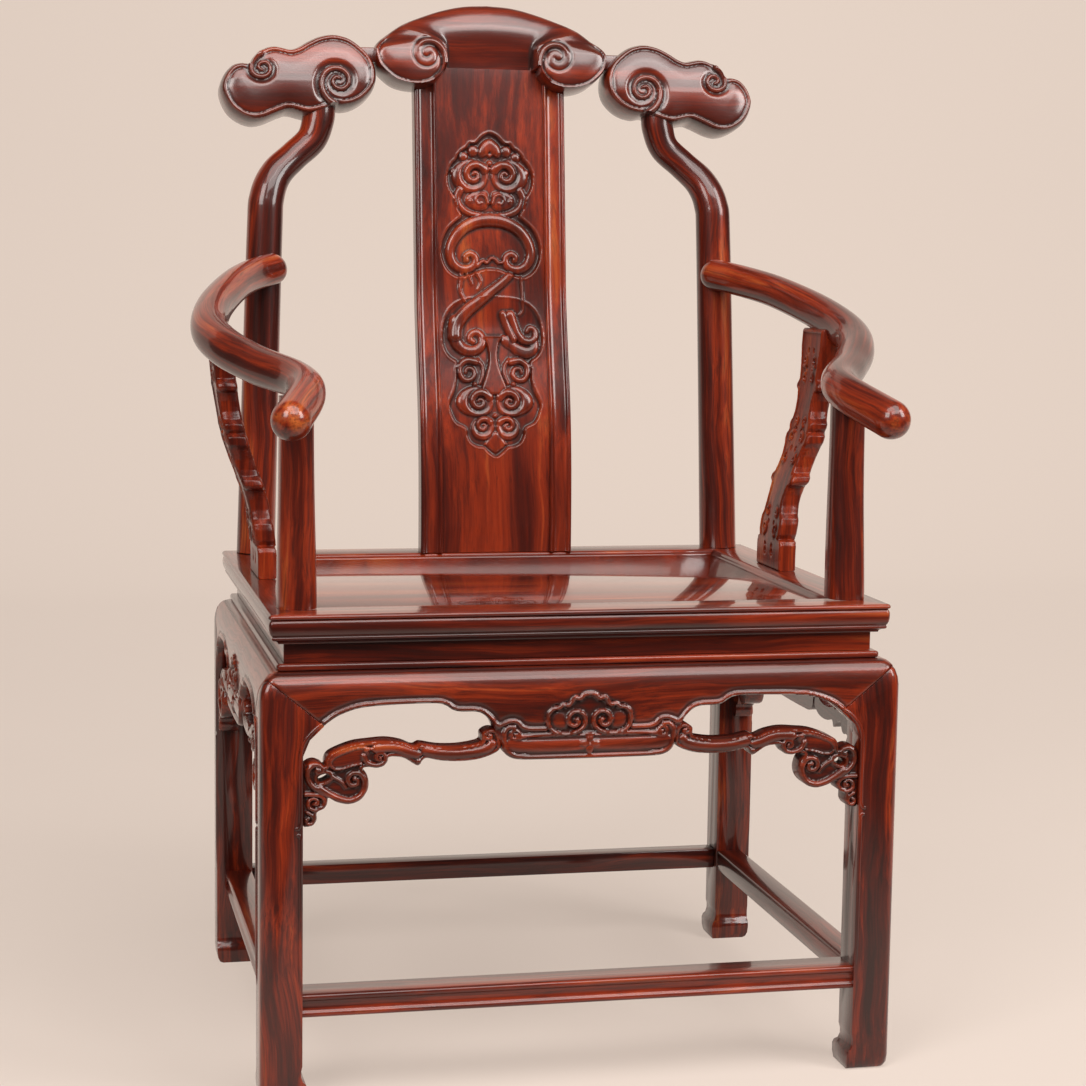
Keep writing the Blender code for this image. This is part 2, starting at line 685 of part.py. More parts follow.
def legs_and_aprons():
    """Legs, aprons mitred to them, and the openwork spandrels."""
    body = envelope()
    legs = {}
    for end, sign_y in (("front", -1), ("back", 1)):
        for side, sign_x in (("left", -1), ("right", 1)):
            legs[end, side] = leg(f"leg_{end}_{side}", sign_x, sign_y, body)

    runs = (("front", 0, outer_half_width, clear_half_width, outer_half_depth, arch_shares),
            ("right", 90, outer_half_depth, clear_half_depth, outer_half_width, arch_shares),
            ("back", 180, outer_half_width, clear_half_width, outer_half_depth, plain_arch_shares),
            ("left", 270, outer_half_depth, clear_half_depth, outer_half_width, arch_shares))
    aprons = {}
    for side, angle, half_reach, clear_half, edge, lower in runs:
        turn = (0, 0, math.radians(angle))
        apron = add_part(f"apron_{side}", apron_mesh(clear_half, edge, lower), "apron", turn=turn)
        margin = 2 * cut_margin
        inner = half_reach - apron_thickness - margin - fit_gap / 2
        outer = half_reach + margin - fit_gap / 2
        plan = [(-outer, -edge - margin), (outer, -edge - margin),
                (inner, apron_thickness + margin - edge), (-inner, apron_thickness + margin - edge)]
        combine(apron, add_cutter(f"corner_mitres_{side}", prism("plan", [plan], 4 * leg_top), turn=turn),
                "INTERSECT")
        combine(apron, body, "INTERSECT")
        aprons[side] = apron

        depth = apron_thickness + cut_margin + fit_gap
        for sign, corner in zip((-1, 1), corners_of[side]):
            outline = [(sign * along, height) for along, height in wing_outline(clear_half, fit_gap)]
            mesh = facing_front(prism("wing", [outline], depth))
            mesh.transform(Matrix.Translation((0, -edge - cut_margin + depth / 2, 0)))
            combine(legs[corner], add_cutter(f"wing_{side}_{corner[0]}_{corner[1]}", mesh, turn=turn),
                    "DIFFERENCE")
        if lower is arch_shares:
            spandrels(side, turn, clear_half, edge, apron, [legs[corner] for corner in corners_of[side]])
    return legs, aprons


def spandrels(side, turn, clear_half, edge, apron, corner_legs):
    """The two scroll brackets under one apron."""
    joint = clear_half * spandrel_joint_share + fit_gap
    width = clear_half - fit_gap - joint
    top = leg_top - apron_drop * arch_shares[12][1] - fit_gap
    low = top - spandrel_height
    depth = -edge + spandrel_setback + spandrel_thickness / 2
    around = Matrix.Rotation(turn[2], 4, "Z")
    names = {"front": ("left", "right"), "right": ("front", "back"), "left": ("back", "front")}[side]
    for sign, end, corner_leg in zip((-1, 1), names, corner_legs):
        loops = [[(sign * (joint + width * across), low + spandrel_height * up) for across, up in shares]
                 for shares in (spandrel_shares, spandrel_hole_shares)]
        mesh = facing_front(prism("spandrel", loops, spandrel_thickness))
        mesh.transform(Matrix.Translation((0, depth, 0)))
        piece = add_part(f"spandrel_{side}_{end}", mesh, "apron", turn=turn)
        length = 2 * spandrel_peg_length
        size = (length, spandrel_peg_size, spandrel_peg_size)
        peg_height = low + spandrel_height * spandrel_leg_peg_share
        leg_peg = around @ Vector((sign * clear_half, depth, peg_height))
        add_tenon(piece, [corner_leg], leg_peg, size, turn)
        peg_height = low + spandrel_height * spandrel_apron_peg_share
        apron_peg = around @ Vector((sign * joint, depth, peg_height))
        add_tenon(piece, [apron], apron_peg, size, turn)


def leg_tenons(legs, aprons, waists, beads, rails):
    """Square tenons that pin bead, waist and seat frame on the legs."""
    low = leg_top - leg_tenon_root
    high = rail_bottom + leg_tenon_rise
    size = (leg_tenon_size, leg_tenon_size, high - low)
    for (end, side), piece in legs.items():
        sign_x = -1 if side == "left" else 1
        sign_y = -1 if end == "front" else 1
        centre = (sign_x * (half_width - leg_tenon_inset), sign_y * (half_depth - leg_tenon_inset),
                  (low + high) / 2)
        frames = [frame[name] for frame in (beads, waists, rails) for name in (end, side)]
        add_tenon(piece, frames, centre, size)


def stretchers(legs):
    """Four stretchers tenoned between the legs."""
    low = stretcher_top - stretcher_height
    rows = (("front", 0, clear_half_width, outer_half_depth, front_stretcher_inset,
             front_stretcher_width, stretcher_edge_shares),
            ("right", 90, clear_half_depth, outer_half_width, side_stretcher_inset,
             side_stretcher_width, stretcher_edge_shares),
            ("back", 180, clear_half_width, outer_half_depth, back_stretcher_inset,
             back_stretcher_width, plain_edge_shares),
            ("left", 270, clear_half_depth, outer_half_width, side_stretcher_inset,
             side_stretcher_width, stretcher_edge_shares))
    for side, angle, clear_half, edge, inset, width, shares in rows:
        face = -edge + inset
        outline = [(face + stretcher_hollow * inset, low + stretcher_height * up) for inset, up in shares]
        outline += [(face + width, stretcher_top), (face + width, low)]
        length = 2 * (clear_half - fit_gap)
        turn = (0, 0, math.radians(angle))
        piece = add_part(f"stretcher_{side}", facing_side(prism("stretcher", [outline], length)), "leg",
                         turn=turn)
        around = Matrix.Rotation(turn[2], 4, "Z")
        for sign, corner in zip((-1, 1), corners_of[side]):
            centre = around @ Vector((sign * clear_half, -edge + leg_size / 2, (low + stretcher_top) / 2))
            size = (2 * stretcher_tenon, stretcher_tenon_width, stretcher_tenon_height)
            add_tenon(piece, [legs[corner]], centre, size, turn)


def post_path(sign):
    """A back post from inside the seat frame to the end of its goose neck."""
    path = smooth_path([(sign * (post_base_across - post_draw_in * inward),
                         post_base_depth + post_lean * back, seat_height + post_rise * up,
                         post_radius * thick)
                        for inward, back, up, thick in post_path_shares], path_steps)
    down = (path[0].xyz - path[1].xyz).normalized() * post_let_in
    return [Vector((*(path[0].xyz + down), path[0].w))] + path


def post_place(height):
    """The point of the right back post's axis at a height."""
    path = post_path(1)
    for low, high in zip(path, path[1:]):
        if low.z <= height <= high.z:
            return low.lerp(high, (height - low.z) / (high.z - low.z)).xyz


def arm_heel():
    """Where the right arm ends against its back post."""
    place = post_place(arm_low + arm_drop)
    return Vector((place.x - arm_heel_inset, place.y - arm_heel_setback, place.z))


def back_posts(rails):
    """The two back posts, let into the seat frame; returns roomy copies too."""
    posts, copies = {}, {}
    for side, sign in (("left", -1), ("right", 1)):
        path = post_path(sign)
        posts[side] = add_part(f"back_post_{side}", tube("post", path), "post")
        roomy = grown(path, fit_gap)
        copies[side] = add_cutter(f"roomy_post_{side}", tube("roomy_post", roomy))
        for rail in (rails["back"], rails[side]):
            combine(rail, copies[side], "DIFFERENCE")
    return posts, copies


def raked(points):
    """Outline heights measured along the raked crest from its pivot."""
    return [(across, (height - crest_pivot_height) / math.cos(crest_rake)) for across, height in points]


def crest(post_cutters):
    """Middle crest board, the two clouds and their loose tenons."""
    place = (0, crest_pivot_depth, crest_pivot_height)
    turn = (-crest_rake, 0, 0)
    right = [(crest_half_width * across, crest_low + crest_rise * up) for across, up in crest_shares]
    outline = right + [(-across, height) for across, height in reversed(right[1:])]
    mesh = facing_front(prism("crest", [raked(outline)], crest_thickness))
    mesh.transform(Matrix.Translation((0, crest_thickness / 2, 0)))
    centre = add_part("crest_centre", mesh, "crest", place, turn)
    soften(centre, crest_edge_round)
    middle = crest_low + crest_rise / 2
    spread = 1 + 2 * fit_gap / crest_rise
    roomy = [(across * spread, middle + (height - middle) * spread) for across, height in outline]
    mesh = facing_front(prism("roomy_crest", [raked(roomy)], crest_thickness + 2 * cut_margin))
    mesh.transform(Matrix.Translation((0, crest_thickness / 2, 0)))
    roomy_centre = add_cutter("roomy_crest", mesh, place, turn)

    root_high = right[-1][1] + crest_root_overlap
    root = [(-crest_root_half_width, crest_root_low), (crest_root_half_width, crest_root_low),
            (crest_root_half_width, root_high), (-crest_root_half_width, root_high)]
    root_mesh = facing_front(prism("crest_root", [raked(root)], splat_panel_thickness))
    root_mesh.transform(Matrix.Translation((0, crest_root_setback + splat_panel_thickness / 2, 0)))
    combine(centre, add_cutter("crest_root", root_mesh, place, turn), "UNION")

    for side, sign in (("left", -1), ("right", 1)):
        outline = [(sign * (cloud_inner + cloud_width * across), cloud_low + cloud_height * up)
                   for across, up in cloud_shares]
        mesh = facing_front(prism("cloud", [raked(outline)], crest_thickness))
        mesh.transform(Matrix.Translation((0, crest_thickness / 2, 0)))
        cloud = add_part(f"crest_cloud_{side}", mesh, "crest", place, turn)
        soften(cloud, cloud_edge_round)
        combine(cloud, post_cutters[side], "DIFFERENCE")
        combine(cloud, roomy_centre, "DIFFERENCE")

        size = (crest_tenon_length, crest_tenon_thickness, crest_tenon_height)
        level = (crest_tenon_level - crest_pivot_height) / math.cos(crest_rake)
        local = Vector((sign * crest_tenon_middle, crest_thickness / 2, level))
        centre_point = Vector(place) + Matrix.Rotation(turn[0], 4, "X") @ local
        add_part(f"crest_tenon_{side}", box("crest_tenon", size), "crest", centre_point, turn)
        slot = box("crest_slot", [length + 2 * fit_gap for length in size])
        slot_cutter = add_cutter(f"crest_slot_{side}", slot, centre_point, turn)
        combine(centre, slot_cutter, "DIFFERENCE")
        combine(cloud, slot_cutter, "DIFFERENCE")
    return centre


def splat_outline(front_offset, back_offset, top, growth):
    """Side outline of a plate that follows the S-curve of the splat up to a height."""
    path = smooth_path([(0, splat_base_depth + splat_lean * back, splat_base + splat_rise * up)
                        for back, up in splat_path_shares], path_steps)
    ahead = [*path[1:], 2 * path[-1] - path[-2]]
    path = [point for point in path if point.z < top]
    along = ahead[len(path) - 1] - path[-1]
    path.append(path[-1] + along * (top - path[-1].z) / along.z)
    front, back = [], []
    for number, point in enumerate(path):
        along = (path[min(number + 1, len(path) - 1)] - path[max(number - 1, 0)]).normalized()
        normal = Vector((0, -along.z, along.y))
        if number == 0:
            point = point - along * growth
        if number == len(path) - 1:
            point = point + along * growth
        front.append(point - normal * (front_offset - growth))
        back.append(point - normal * (back_offset + growth))
    return [(point.y, point.z) for point in front + back[::-1]]


def splat(rails, centre):
    """Two stiles and the panel tongued between them."""
    back_offset = splat_panel_setback + splat_panel_thickness
    panel_width = 2 * (stile_inner + splat_panel_tongue)
    panel_high = crest_root_low - crest_root_setback * math.sin(crest_rake) + splat_panel_let_in
    outline = splat_outline(splat_panel_setback, back_offset, panel_high, 0)
    panel = add_part("splat_panel", facing_side(prism("splat", [outline], panel_width)), "splat")
    outline = splat_outline(splat_panel_setback, back_offset, stile_high, fit_gap)
    groove_mesh = facing_side(prism("groove", [outline], panel_width + 2 * fit_gap))
    groove = add_cutter("splat_groove", groove_mesh)
    outline = splat_outline(splat_panel_setback, back_offset, panel_high, fit_gap)
    roomy_mesh = facing_side(prism("roomy_panel", [outline], panel_width + 2 * fit_gap))
    combine(centre, add_cutter("roomy_panel", roomy_mesh), "DIFFERENCE")

    tenon_y = splat_base_depth + splat_panel_setback + splat_panel_thickness / 2
    height = splat_tenon_root + splat_tenon_depth
    tenon_z = seat_height + (splat_tenon_root - splat_tenon_depth) / 2
    for side, sign in (("left", -1), ("right", 1)):
        middle = sign * (stile_inner + stile_width / 2)
        outline = splat_outline(0, stile_thickness, stile_high, 0)
        stile = add_part(f"splat_stile_{side}", facing_side(prism("stile", [outline], stile_width)),
                         "splat", (middle, 0, 0))
        outline = splat_outline(0, stile_thickness, stile_high, fit_gap)
        roomy = add_cutter(f"roomy_stile_{side}",
                           facing_side(prism("roomy", [outline], stile_width + 2 * fit_gap)),
                           (middle, 0, 0))
        combine(centre, roomy, "DIFFERENCE")
        add_tenon(stile, [rails["back"]], (middle, tenon_y, tenon_z),
                  (stile_tenon_width, splat_tenon_thickness, height))
        combine(stile, groove, "DIFFERENCE")
    add_tenon(panel, [rails["back"]], (0, tenon_y, tenon_z),
              (splat_panel_tenon_width, splat_tenon_thickness, height))


def arm_posts_and_struts(rails):
    """Front arm posts and carved struts; returns roomy copies for the arms."""
    copies = {}
    for side, sign in (("left", -1), ("right", 1)):
        base = Vector((sign * arm_post_across, arm_post_depth, seat_height + fit_gap))
        path = [Vector((base.x, base.y + arm_post_bend * back, base.z + arm_post_height * up,
                        arm_post_radius * thick)) for up, back, thick in arm_post_shares]
        post = add_part(f"arm_post_{side}", tube("arm_post", path), "post")
        copies[side] = [add_cutter(f"roomy_arm_post_{side}", tube("roomy_arm_post", grown(path, fit_gap)))]
        add_round_tenon(post, [rails[side], rails["front"]], base, arm_post_tenon_radius,
                        2 * arm_post_tenon_length)
        copies[side].append(strut(side, sign, rails))
    return copies


def strut(side, sign, rails):
    """A flat S-bent strut with lobed edges; returns its roomy copy."""
    low = seat_height + fit_gap
    strut_lean = arm_heel().x + arm_bow - strut_top_inset - strut_across
    path = smooth_path([(strut_across + strut_lean * lean, low + strut_height * up, 0)
                        for lean, up in strut_path_shares], 2)
    bodies = []
    for growth in (0, fit_gap):
        half = strut_thickness / 2 + growth
        top = Vector((0, growth, 0))
        loop = [point + Vector((half, 0, 0)) for point in path]
        loop += [point - Vector((half, 0, 0)) for point in reversed(path)]
        count = len(path)
        loop[count - 1] = loop[count - 1] + top
        loop[count] = loop[count] + top
        ribbon = facing_front(prism("ribbon", [[(sign * point.x, point.y) for point in loop]],
                                    4 * strut_half_breadth))
        edge = [(strut_half_breadth * out + growth, low + strut_height * up)
                for out, up in strut_edge_shares]
        edge[-1] = (edge[-1][0], edge[-1][1] + growth)
        lobes = edge + [(-across, height) for across, height in reversed(edge)]
        bodies.append((ribbon, facing_side(prism("lobes", [lobes], 4 * strut_across))))
    (ribbon, lobes), (roomy_ribbon, roomy_lobes) = bodies
    place = (0, strut_depth, 0)
    piece = add_part(f"arm_strut_{side}", ribbon, "splat", place)
    combine(piece, add_cutter(f"strut_lobes_{side}", lobes, place), "INTERSECT")
    size = (strut_tenon_thickness, strut_tenon_breadth, 2 * strut_tenon_depth)
    add_tenon(piece, [rails[side]], (sign * strut_across, strut_depth, low), size)
    roomy = add_cutter(f"roomy_strut_{side}", roomy_ribbon, place)
    combine(roomy, add_cutter(f"roomy_lobes_{side}", roomy_lobes, place), "INTERSECT")
    return roomy


def arms(posts, post_cutters, copies):
    """The S-bent arms, scribed to the back posts."""
    end = arm_heel()
    length = end.y - arm_front_depth
    for side, sign in (("left", -1), ("right", 1)):
        path = smooth_path([(sign * (end.x + arm_bow * out), end.y - length * ahead,
                             arm_low + arm_drop * up, arm_radius * thick)
                            for out, ahead, up, thick in arm_path_shares], path_steps)
        heel = path[0].xyz
        path = round_end(round_end(path)[::-1])
        arm = add_part(f"arm_{side}", tube("arm", path), "arm")
        combine(arm, post_cutters[side], "DIFFERENCE")
        for copy in copies[side]:
            combine(arm, copy, "DIFFERENCE")
        turn = (math.radians(90), 0, 0)
        peg = Vector((heel.x, heel.y + arm_peg_length / 2, heel.z))
        add_round_tenon(arm, [posts[side]], peg, arm_peg_radius, arm_peg_length, turn)


def centre_on_origin():
    """Move everything so that the chair stands centred on the origin."""
    bpy.context.view_layer.update()
    graph = bpy.context.evaluated_depsgraph_get()
    depths = []
    for piece in parts.objects:
        solid = piece.evaluated_get(graph)
        depths += [(solid.matrix_world @ vertex.co).y for vertex in solid.data.vertices]
    shift = (min(depths) + max(depths)) / 2
    for piece in list(parts.objects) + list(cutters.objects):
        piece.location.y -= shift


def chair():
    """Put the whole chair together."""
    start_empty()
    rails = seat_frame()
    waists, beads = waist_frames()
    legs, aprons = legs_and_aprons()
    leg_tenons(legs, aprons, waists, beads, rails)
    stretchers(legs)
    posts, post_cutters = back_posts(rails)
    centre = crest(post_cutters)
    splat(rails, centre)
    copies = arm_posts_and_struts(rails)
    arms(posts, post_cutters, copies)
    centre_on_origin()


chair()
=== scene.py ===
import math

import bmesh
import bpy
import numpy as np
from mathutils import Matrix, Vector


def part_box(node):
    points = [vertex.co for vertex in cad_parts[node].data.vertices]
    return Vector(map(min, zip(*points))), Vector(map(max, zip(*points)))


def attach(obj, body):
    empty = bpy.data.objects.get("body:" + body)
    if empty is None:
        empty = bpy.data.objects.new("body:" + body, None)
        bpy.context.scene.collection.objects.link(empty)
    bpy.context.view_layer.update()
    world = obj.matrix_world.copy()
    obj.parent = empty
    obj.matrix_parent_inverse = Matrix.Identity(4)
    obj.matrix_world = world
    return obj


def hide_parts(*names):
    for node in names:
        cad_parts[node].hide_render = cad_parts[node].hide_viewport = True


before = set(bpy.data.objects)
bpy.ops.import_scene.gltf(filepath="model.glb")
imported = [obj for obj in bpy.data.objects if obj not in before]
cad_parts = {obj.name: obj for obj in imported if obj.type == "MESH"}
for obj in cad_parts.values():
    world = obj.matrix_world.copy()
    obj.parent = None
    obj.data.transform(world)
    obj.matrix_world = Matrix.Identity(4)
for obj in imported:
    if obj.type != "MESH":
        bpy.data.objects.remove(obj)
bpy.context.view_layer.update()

# Pale paper sweep that the armchair stands on, seen a little from its left and from above. Soft
# boxes light it from the left, the right, above and in front. The paper glows a little to a mirror
# and the floor in front of it is dark there, so that polished wood shows a pale wall and deep tones.
seat_middle = (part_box("seat_rail_front")[0].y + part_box("seat_rail_back")[1].y) / 2
sweep_near, sweep_depth, sweep_radius, sweep_half_width, sweep_height = -5.0, 3.3, 1.1, 6.0, 5.0
sweep_steps = 24
paper_colour = (0.300, 0.262, 0.238)
paper_glow = (0.860, 0.712, 0.612)
paper_rough, paper_shine = 0.9, 0.15
dark_studio = (0.055, 0.045, 0.040)
dark_to_pale = (-1.35, -0.60, 0.0, 1.0)
left_to_right_glow = (-1.5, 1.5, 0.66, 0.75)
near_to_far_glow = (-0.5, 3.5, 0.80, 1.0)
fill_colour, fill_level = (0.80, 0.70, 0.64), 0.10
soft_boxes = {
    "soft_box_left": ((-2.3, -2.6, 2.7), (0, 0, 0.65), (1.7, 2.0), 82, (1.0, 0.965, 0.93)),
    "soft_box_right": ((2.5, -2.0, 2.4), (0, 0, 0.65), (1.3, 2.0), 76, (1.0, 0.975, 0.95)),
    "soft_box_top": ((0.1, -1.2, 3.1), (0, 0.1, 0.8), (2.8, 1.3), 46, (1.0, 0.97, 0.94)),
    "soft_box_front": ((0.5, -2.6, 3.0), (0, 0.1, 0.9), (2.4, 1.1), 44, (1.0, 0.97, 0.94))}
camera_place = (-0.5812, -2.6504, 0.8659)
camera_turn, camera_tilt, camera_roll = (math.radians(angle) for angle in (12.5805, 6.7993, 0.8172))
camera_lens, camera_film = 79.73, 36


def linked(name, data):
    """A new object in the scene that holds a mesh, a lamp or a camera."""
    item = bpy.data.objects.new(name, data)
    bpy.context.scene.collection.objects.link(item)
    return item


def add(tree, kind, inputs, **settings):
    """Add a shader node and set its inputs, each by a plain value or a link."""
    node = tree.nodes.new("ShaderNode" + kind)
    for key, value in settings.items():
        setattr(node, key, value)
    feed(tree, node, inputs)
    return node.outputs


def feed(tree, node, inputs):
    for socket, value in inputs.items():
        if isinstance(value, bpy.types.NodeSocket):
            tree.links.new(value, node.inputs[socket])
        else:
            node.inputs[socket].default_value = value


def maths(tree, operation, *values, **settings):
    return add(tree, "Math", dict(enumerate(values)), operation=operation, **settings)["Value"]


def mixed(tree, share, first, second):
    """The colour at a share of the way from the first to the second."""
    return add(tree, "Mix", {0: share, 6: first, 7: second}, data_type="RGBA")[2]


def mapped(tree, value, reach):
    """A value whose range (from, to) becomes the range (from, to)."""
    sockets = ("From Min", "From Max", "To Min", "To Max")
    return add(tree, "MapRange", {"Value": value, **dict(zip(sockets, reach))})["Result"]


def meshed(work, name, sharp=180):
    """The finished mesh of a bmesh, shaded smooth up to an angle in degrees."""
    mesh = bpy.data.meshes.new(name)
    work.to_mesh(mesh)
    work.free()
    mesh.shade_smooth()
    if sharp < 180:
        mesh.set_sharp_from_angle(angle=math.radians(sharp))
    return mesh


def paper_sweep():
    bends = np.radians(np.linspace(0, 90, sweep_steps + 1))
    profile = [(sweep_near, 0.0)]
    profile += [(sweep_depth + sweep_radius * math.sin(bend), sweep_radius * (1 - math.cos(bend)))
                for bend in bends]
    profile.append((sweep_depth + sweep_radius, sweep_radius + sweep_height))
    work = bmesh.new()
    bmesh.ops.create_grid(work, x_segments=1, y_segments=len(profile) - 1, size=0.5)
    for vert in work.verts:
        y, z = profile[round((vert.co.y + 0.5) * (len(profile) - 1))]
        vert.co = vert.co.x * 2 * sweep_half_width, y, z
    return linked("paper_sweep", meshed(work, "paper_sweep"))


def paper_finish():
    finish = bpy.data.materials.new("paper")
    finish.use_nodes = True
    tree = finish.node_tree
    place = add(tree, "SeparateXYZ", {"Vector": add(tree, "TexCoord", {})["Object"]})
    seen = add(tree, "LightPath", {})
    pale = maths(tree, "MAXIMUM", mapped(tree, place["Y"], dark_to_pale), seen["Is Camera Ray"])
    level = maths(tree, "MULTIPLY", mapped(tree, place["X"], left_to_right_glow),
                  mapped(tree, place["Y"], near_to_far_glow))
    shown = maths(tree, "MAXIMUM", seen["Is Camera Ray"], seen["Is Glossy Ray"])
    feed(tree, tree.nodes["Principled BSDF"], {
        "Base Color": mixed(tree, pale, (*dark_studio, 1), (*paper_colour, 1)),
        "Emission Color": mixed(tree, pale, (0, 0, 0, 1), (*paper_glow, 1)),
        "Emission Strength": maths(tree, "MULTIPLY", shown, level),
        "Roughness": paper_rough, "Specular IOR Level": paper_shine})
    return finish


paper = paper_sweep()
paper.data.materials.append(paper_finish())
for name, (place, target, size, power, colour) in soft_boxes.items():
    lamp = bpy.data.lights.new(name, "AREA")
    lamp.shape, lamp.energy, lamp.color = "RECTANGLE", power, colour
    lamp.size, lamp.size_y = size
    holder = linked(name, lamp)
    holder.location = place
    holder.rotation_euler = (Vector(target) - Vector(place)).to_track_quat("-Z", "Y").to_euler()

world = bpy.data.worlds.new("studio")
world.use_nodes = True
tree = world.node_tree
seen = add(tree, "LightPath", {})["Is Camera Ray"]
feed(tree, tree.nodes["Background"], {"Color": (*fill_colour, 1),
                                      "Strength": mapped(tree, seen, (0.0, 1.0, fill_level, 1.0))})
bpy.context.scene.world = world

lens = bpy.data.cameras.new("camera")
lens.lens, lens.sensor_width, lens.sensor_fit = camera_lens, camera_film, "HORIZONTAL"
camera = linked("camera", lens)
camera.matrix_world = (Matrix.Translation(Vector(camera_place) + Vector((0, seat_middle, 0)))
                       @ Matrix.Rotation(-camera_turn, 4, "Z")
                       @ Matrix.Rotation(math.pi / 2 - camera_tilt, 4, "X")
                       @ Matrix.Rotation(camera_roll, 4, "Z"))
bpy.context.scene.camera = camera
bpy.context.scene.view_settings.view_transform = "Standard"

# Four legs of solid rosewood, square, with rounded shoulders under the seat frame and a small
# scroll foot. The head of each leg is mitred to the aprons. The wood is oiled and waxed to a
# soft shine. Painted shade darkens it where the carving is deep, and a painted highlight
# lightens its ridges.
wood_dark = (0.024, 0.0036, 0.0022)
wood_deep = (0.088, 0.0080, 0.0030)
wood_red = (0.260, 0.0260, 0.0060)
wood_amber = (0.500, 0.1150, 0.0250)
wood_tones = ((0.34, wood_dark), (0.46, wood_deep), (0.57, wood_red), (0.72, wood_amber))
dark_line = (0.030, 0.005, 0.003)
dark_pore = (0.016, 0.005, 0.004)
# Painted shade for the carving's hollows and a painted highlight for its ridges.
painted_hollow_shade = (0.022, 0.004, 0.002)
painted_ridge_highlight = (0.28, 0.055, 0.020)
figure_grain = (24.0, 1.7, 5.0, 0.60, 3.1)
streak_grain = (110.0, 2.6, 4.0, 0.60, 7.7)
line_grain = (420.0, 5.0, 3.0, 0.55, 1.9)
pore_grain = (1500.0, 70.0, 2.0, 0.50, 5.3)
sway_scale, sway_detail = 5.0, 2.0
line_stops = ((0.49, (0, 0, 0)), (0.64, (1, 1, 1)))
pore_stops = ((0.30, (1, 1, 1)), (0.40, (0, 0, 0)))
figure_share, streak_share, line_share = 0.62, 0.38, 0.42
# Shares of the wood's pores, of the painted hollow shade and of the painted ridge highlight.
pore_share, hollow_shade_share, ridge_highlight_share = 0.40, 0.80, 0.20
plain_rough, polished_rough, line_rough, hollow_rough = 0.24, 0.12, 0.14, 0.25
line_bump, pore_bump, bump_strength, bump_depth = 0.25, -0.5, 0.20, 0.0004
wood_shine, polish_gloss, plain_coat_bend, polished_coat_bend = 0.28, 0.04, 1.5, 1.6
leg_ease, ease_sharp, shade_sharp = 0.0012, 38, 42


def rosewood(name, along, offset=0.0, light=0.0, polished=False, swirl=0.022, calm=0.0, gloss=0.09,
             coat=0.75, follow=False):
    """Oiled rosewood whose grain runs along one axis, or follows a bent piece, with painted shade
    in the carving's hollows and a painted highlight on its ridges. The seat is polished by use.
    Calm wood has less figure."""
    wood = bpy.data.materials.new(name)
    wood.use_nodes = True
    tree = wood.node_tree

    def noise(across_rate, along_rate, detail, roughness, shift):
        rates = [across_rate, across_rate, across_rate]
        rates["XYZ".index(along)] = along_rate
        where = add(tree, "Mapping", {"Vector": bent, "Scale": rates, "Location": (
            offset + shift, shift * 2.3, offset * 1.7 - shift)})["Vector"]
        return add(tree, "TexNoise", {"Vector": where, "Scale": 1.0, "Detail": detail,
                                      "Roughness": roughness})["Fac"]

    def ramp(value, stops):
        node = tree.nodes.new("ShaderNodeValToRGB")
        while len(node.color_ramp.elements) < len(stops):
            node.color_ramp.elements.new(0.5)
        for element, (place, colour) in zip(node.color_ramp.elements, stops):
            element.position = place
            element.color = (*colour, 1)
        feed(tree, node, {"Fac": value})
        return node.outputs["Color"]

    if follow:
        place = add(tree, "Attribute", {}, attribute_name="grain")["Vector"]
    else:
        place = add(tree, "TexCoord", {})["Object"]
    sway = add(tree, "TexNoise", {"Vector": place, "Scale": sway_scale, "Detail": sway_detail})["Color"]
    bent = add(tree, "VectorMath", {0: sway, 1: (swirl, swirl, swirl), 2: place},
               operation="MULTIPLY_ADD")["Vector"]
    figure, streaks, lines, pores = (
        noise(*grain) for grain in (figure_grain, streak_grain, line_grain, pore_grain))
    tone = maths(tree, "MULTIPLY", figure, figure_share)
    tone = maths(tree, "MULTIPLY_ADD", streaks, streak_share, tone)
    tone = maths(tree, "MULTIPLY_ADD", tone, 1.0 - calm, 0.5 * calm + light)
    line, pore = ramp(lines, line_stops), ramp(pores, pore_stops)
    # The relief attribute paints shade into the carving's hollows and a highlight onto its ridges.
    relief_shade_and_highlight = add(tree, "Attribute", {}, attribute_name="relief_shade_and_highlight")["Fac"]
    hollow = maths(tree, "MULTIPLY", relief_shade_and_highlight, -1.0, use_clamp=True)
    ridge = maths(tree, "MULTIPLY", relief_shade_and_highlight, ridge_highlight_share, use_clamp=True)
    colour = ramp(tone, wood_tones)
    # Grain lines and pores are the wood's own; the hollow and ridge mixes are painted shade and painted
    # highlight.
    for share, shade in ((maths(tree, "MULTIPLY", line, line_share * (1.0 - calm)), dark_line),
                         (maths(tree, "MULTIPLY", pore, pore_share), dark_pore),
                         (maths(tree, "MULTIPLY", hollow, hollow_shade_share), painted_hollow_shade),
                         (ridge, painted_ridge_highlight)):
        colour = mixed(tree, share, colour, (*shade, 1))
    rough = maths(tree, "MULTIPLY_ADD", lines, line_rough, polished_rough if polished else plain_rough)
    rough = maths(tree, "MULTIPLY_ADD", hollow, hollow_rough, rough)
    height = maths(tree, "MULTIPLY_ADD", pore, pore_bump, maths(tree, "MULTIPLY", lines, line_bump))
    bump = add(tree, "Bump", {"Height": height, "Strength": bump_strength,
                              "Distance": bump_depth})["Normal"]
    thick_coat = polished or gloss > 0.1
    feed(tree, tree.nodes["Principled BSDF"], {
        "Base Color": colour, "Roughness": rough, "Normal": bump, "Specular IOR Level": wood_shine,
        "Coat Weight": 1.0 if thick_coat else coat,
        "Coat IOR": polished_coat_bend if thick_coat else plain_coat_bend,
        "Coat Roughness": polish_gloss if polished else gloss})
    return wood


def finished(mesh, wood, place_name, *nodes):
    """Show a finished mesh as part of the chair, in place of the solids it stands for."""
    piece = linked(mesh.name, mesh)
    mesh.materials.clear()
    mesh.materials.append(wood)
    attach(piece, "root")
    if nodes:
        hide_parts(*nodes)


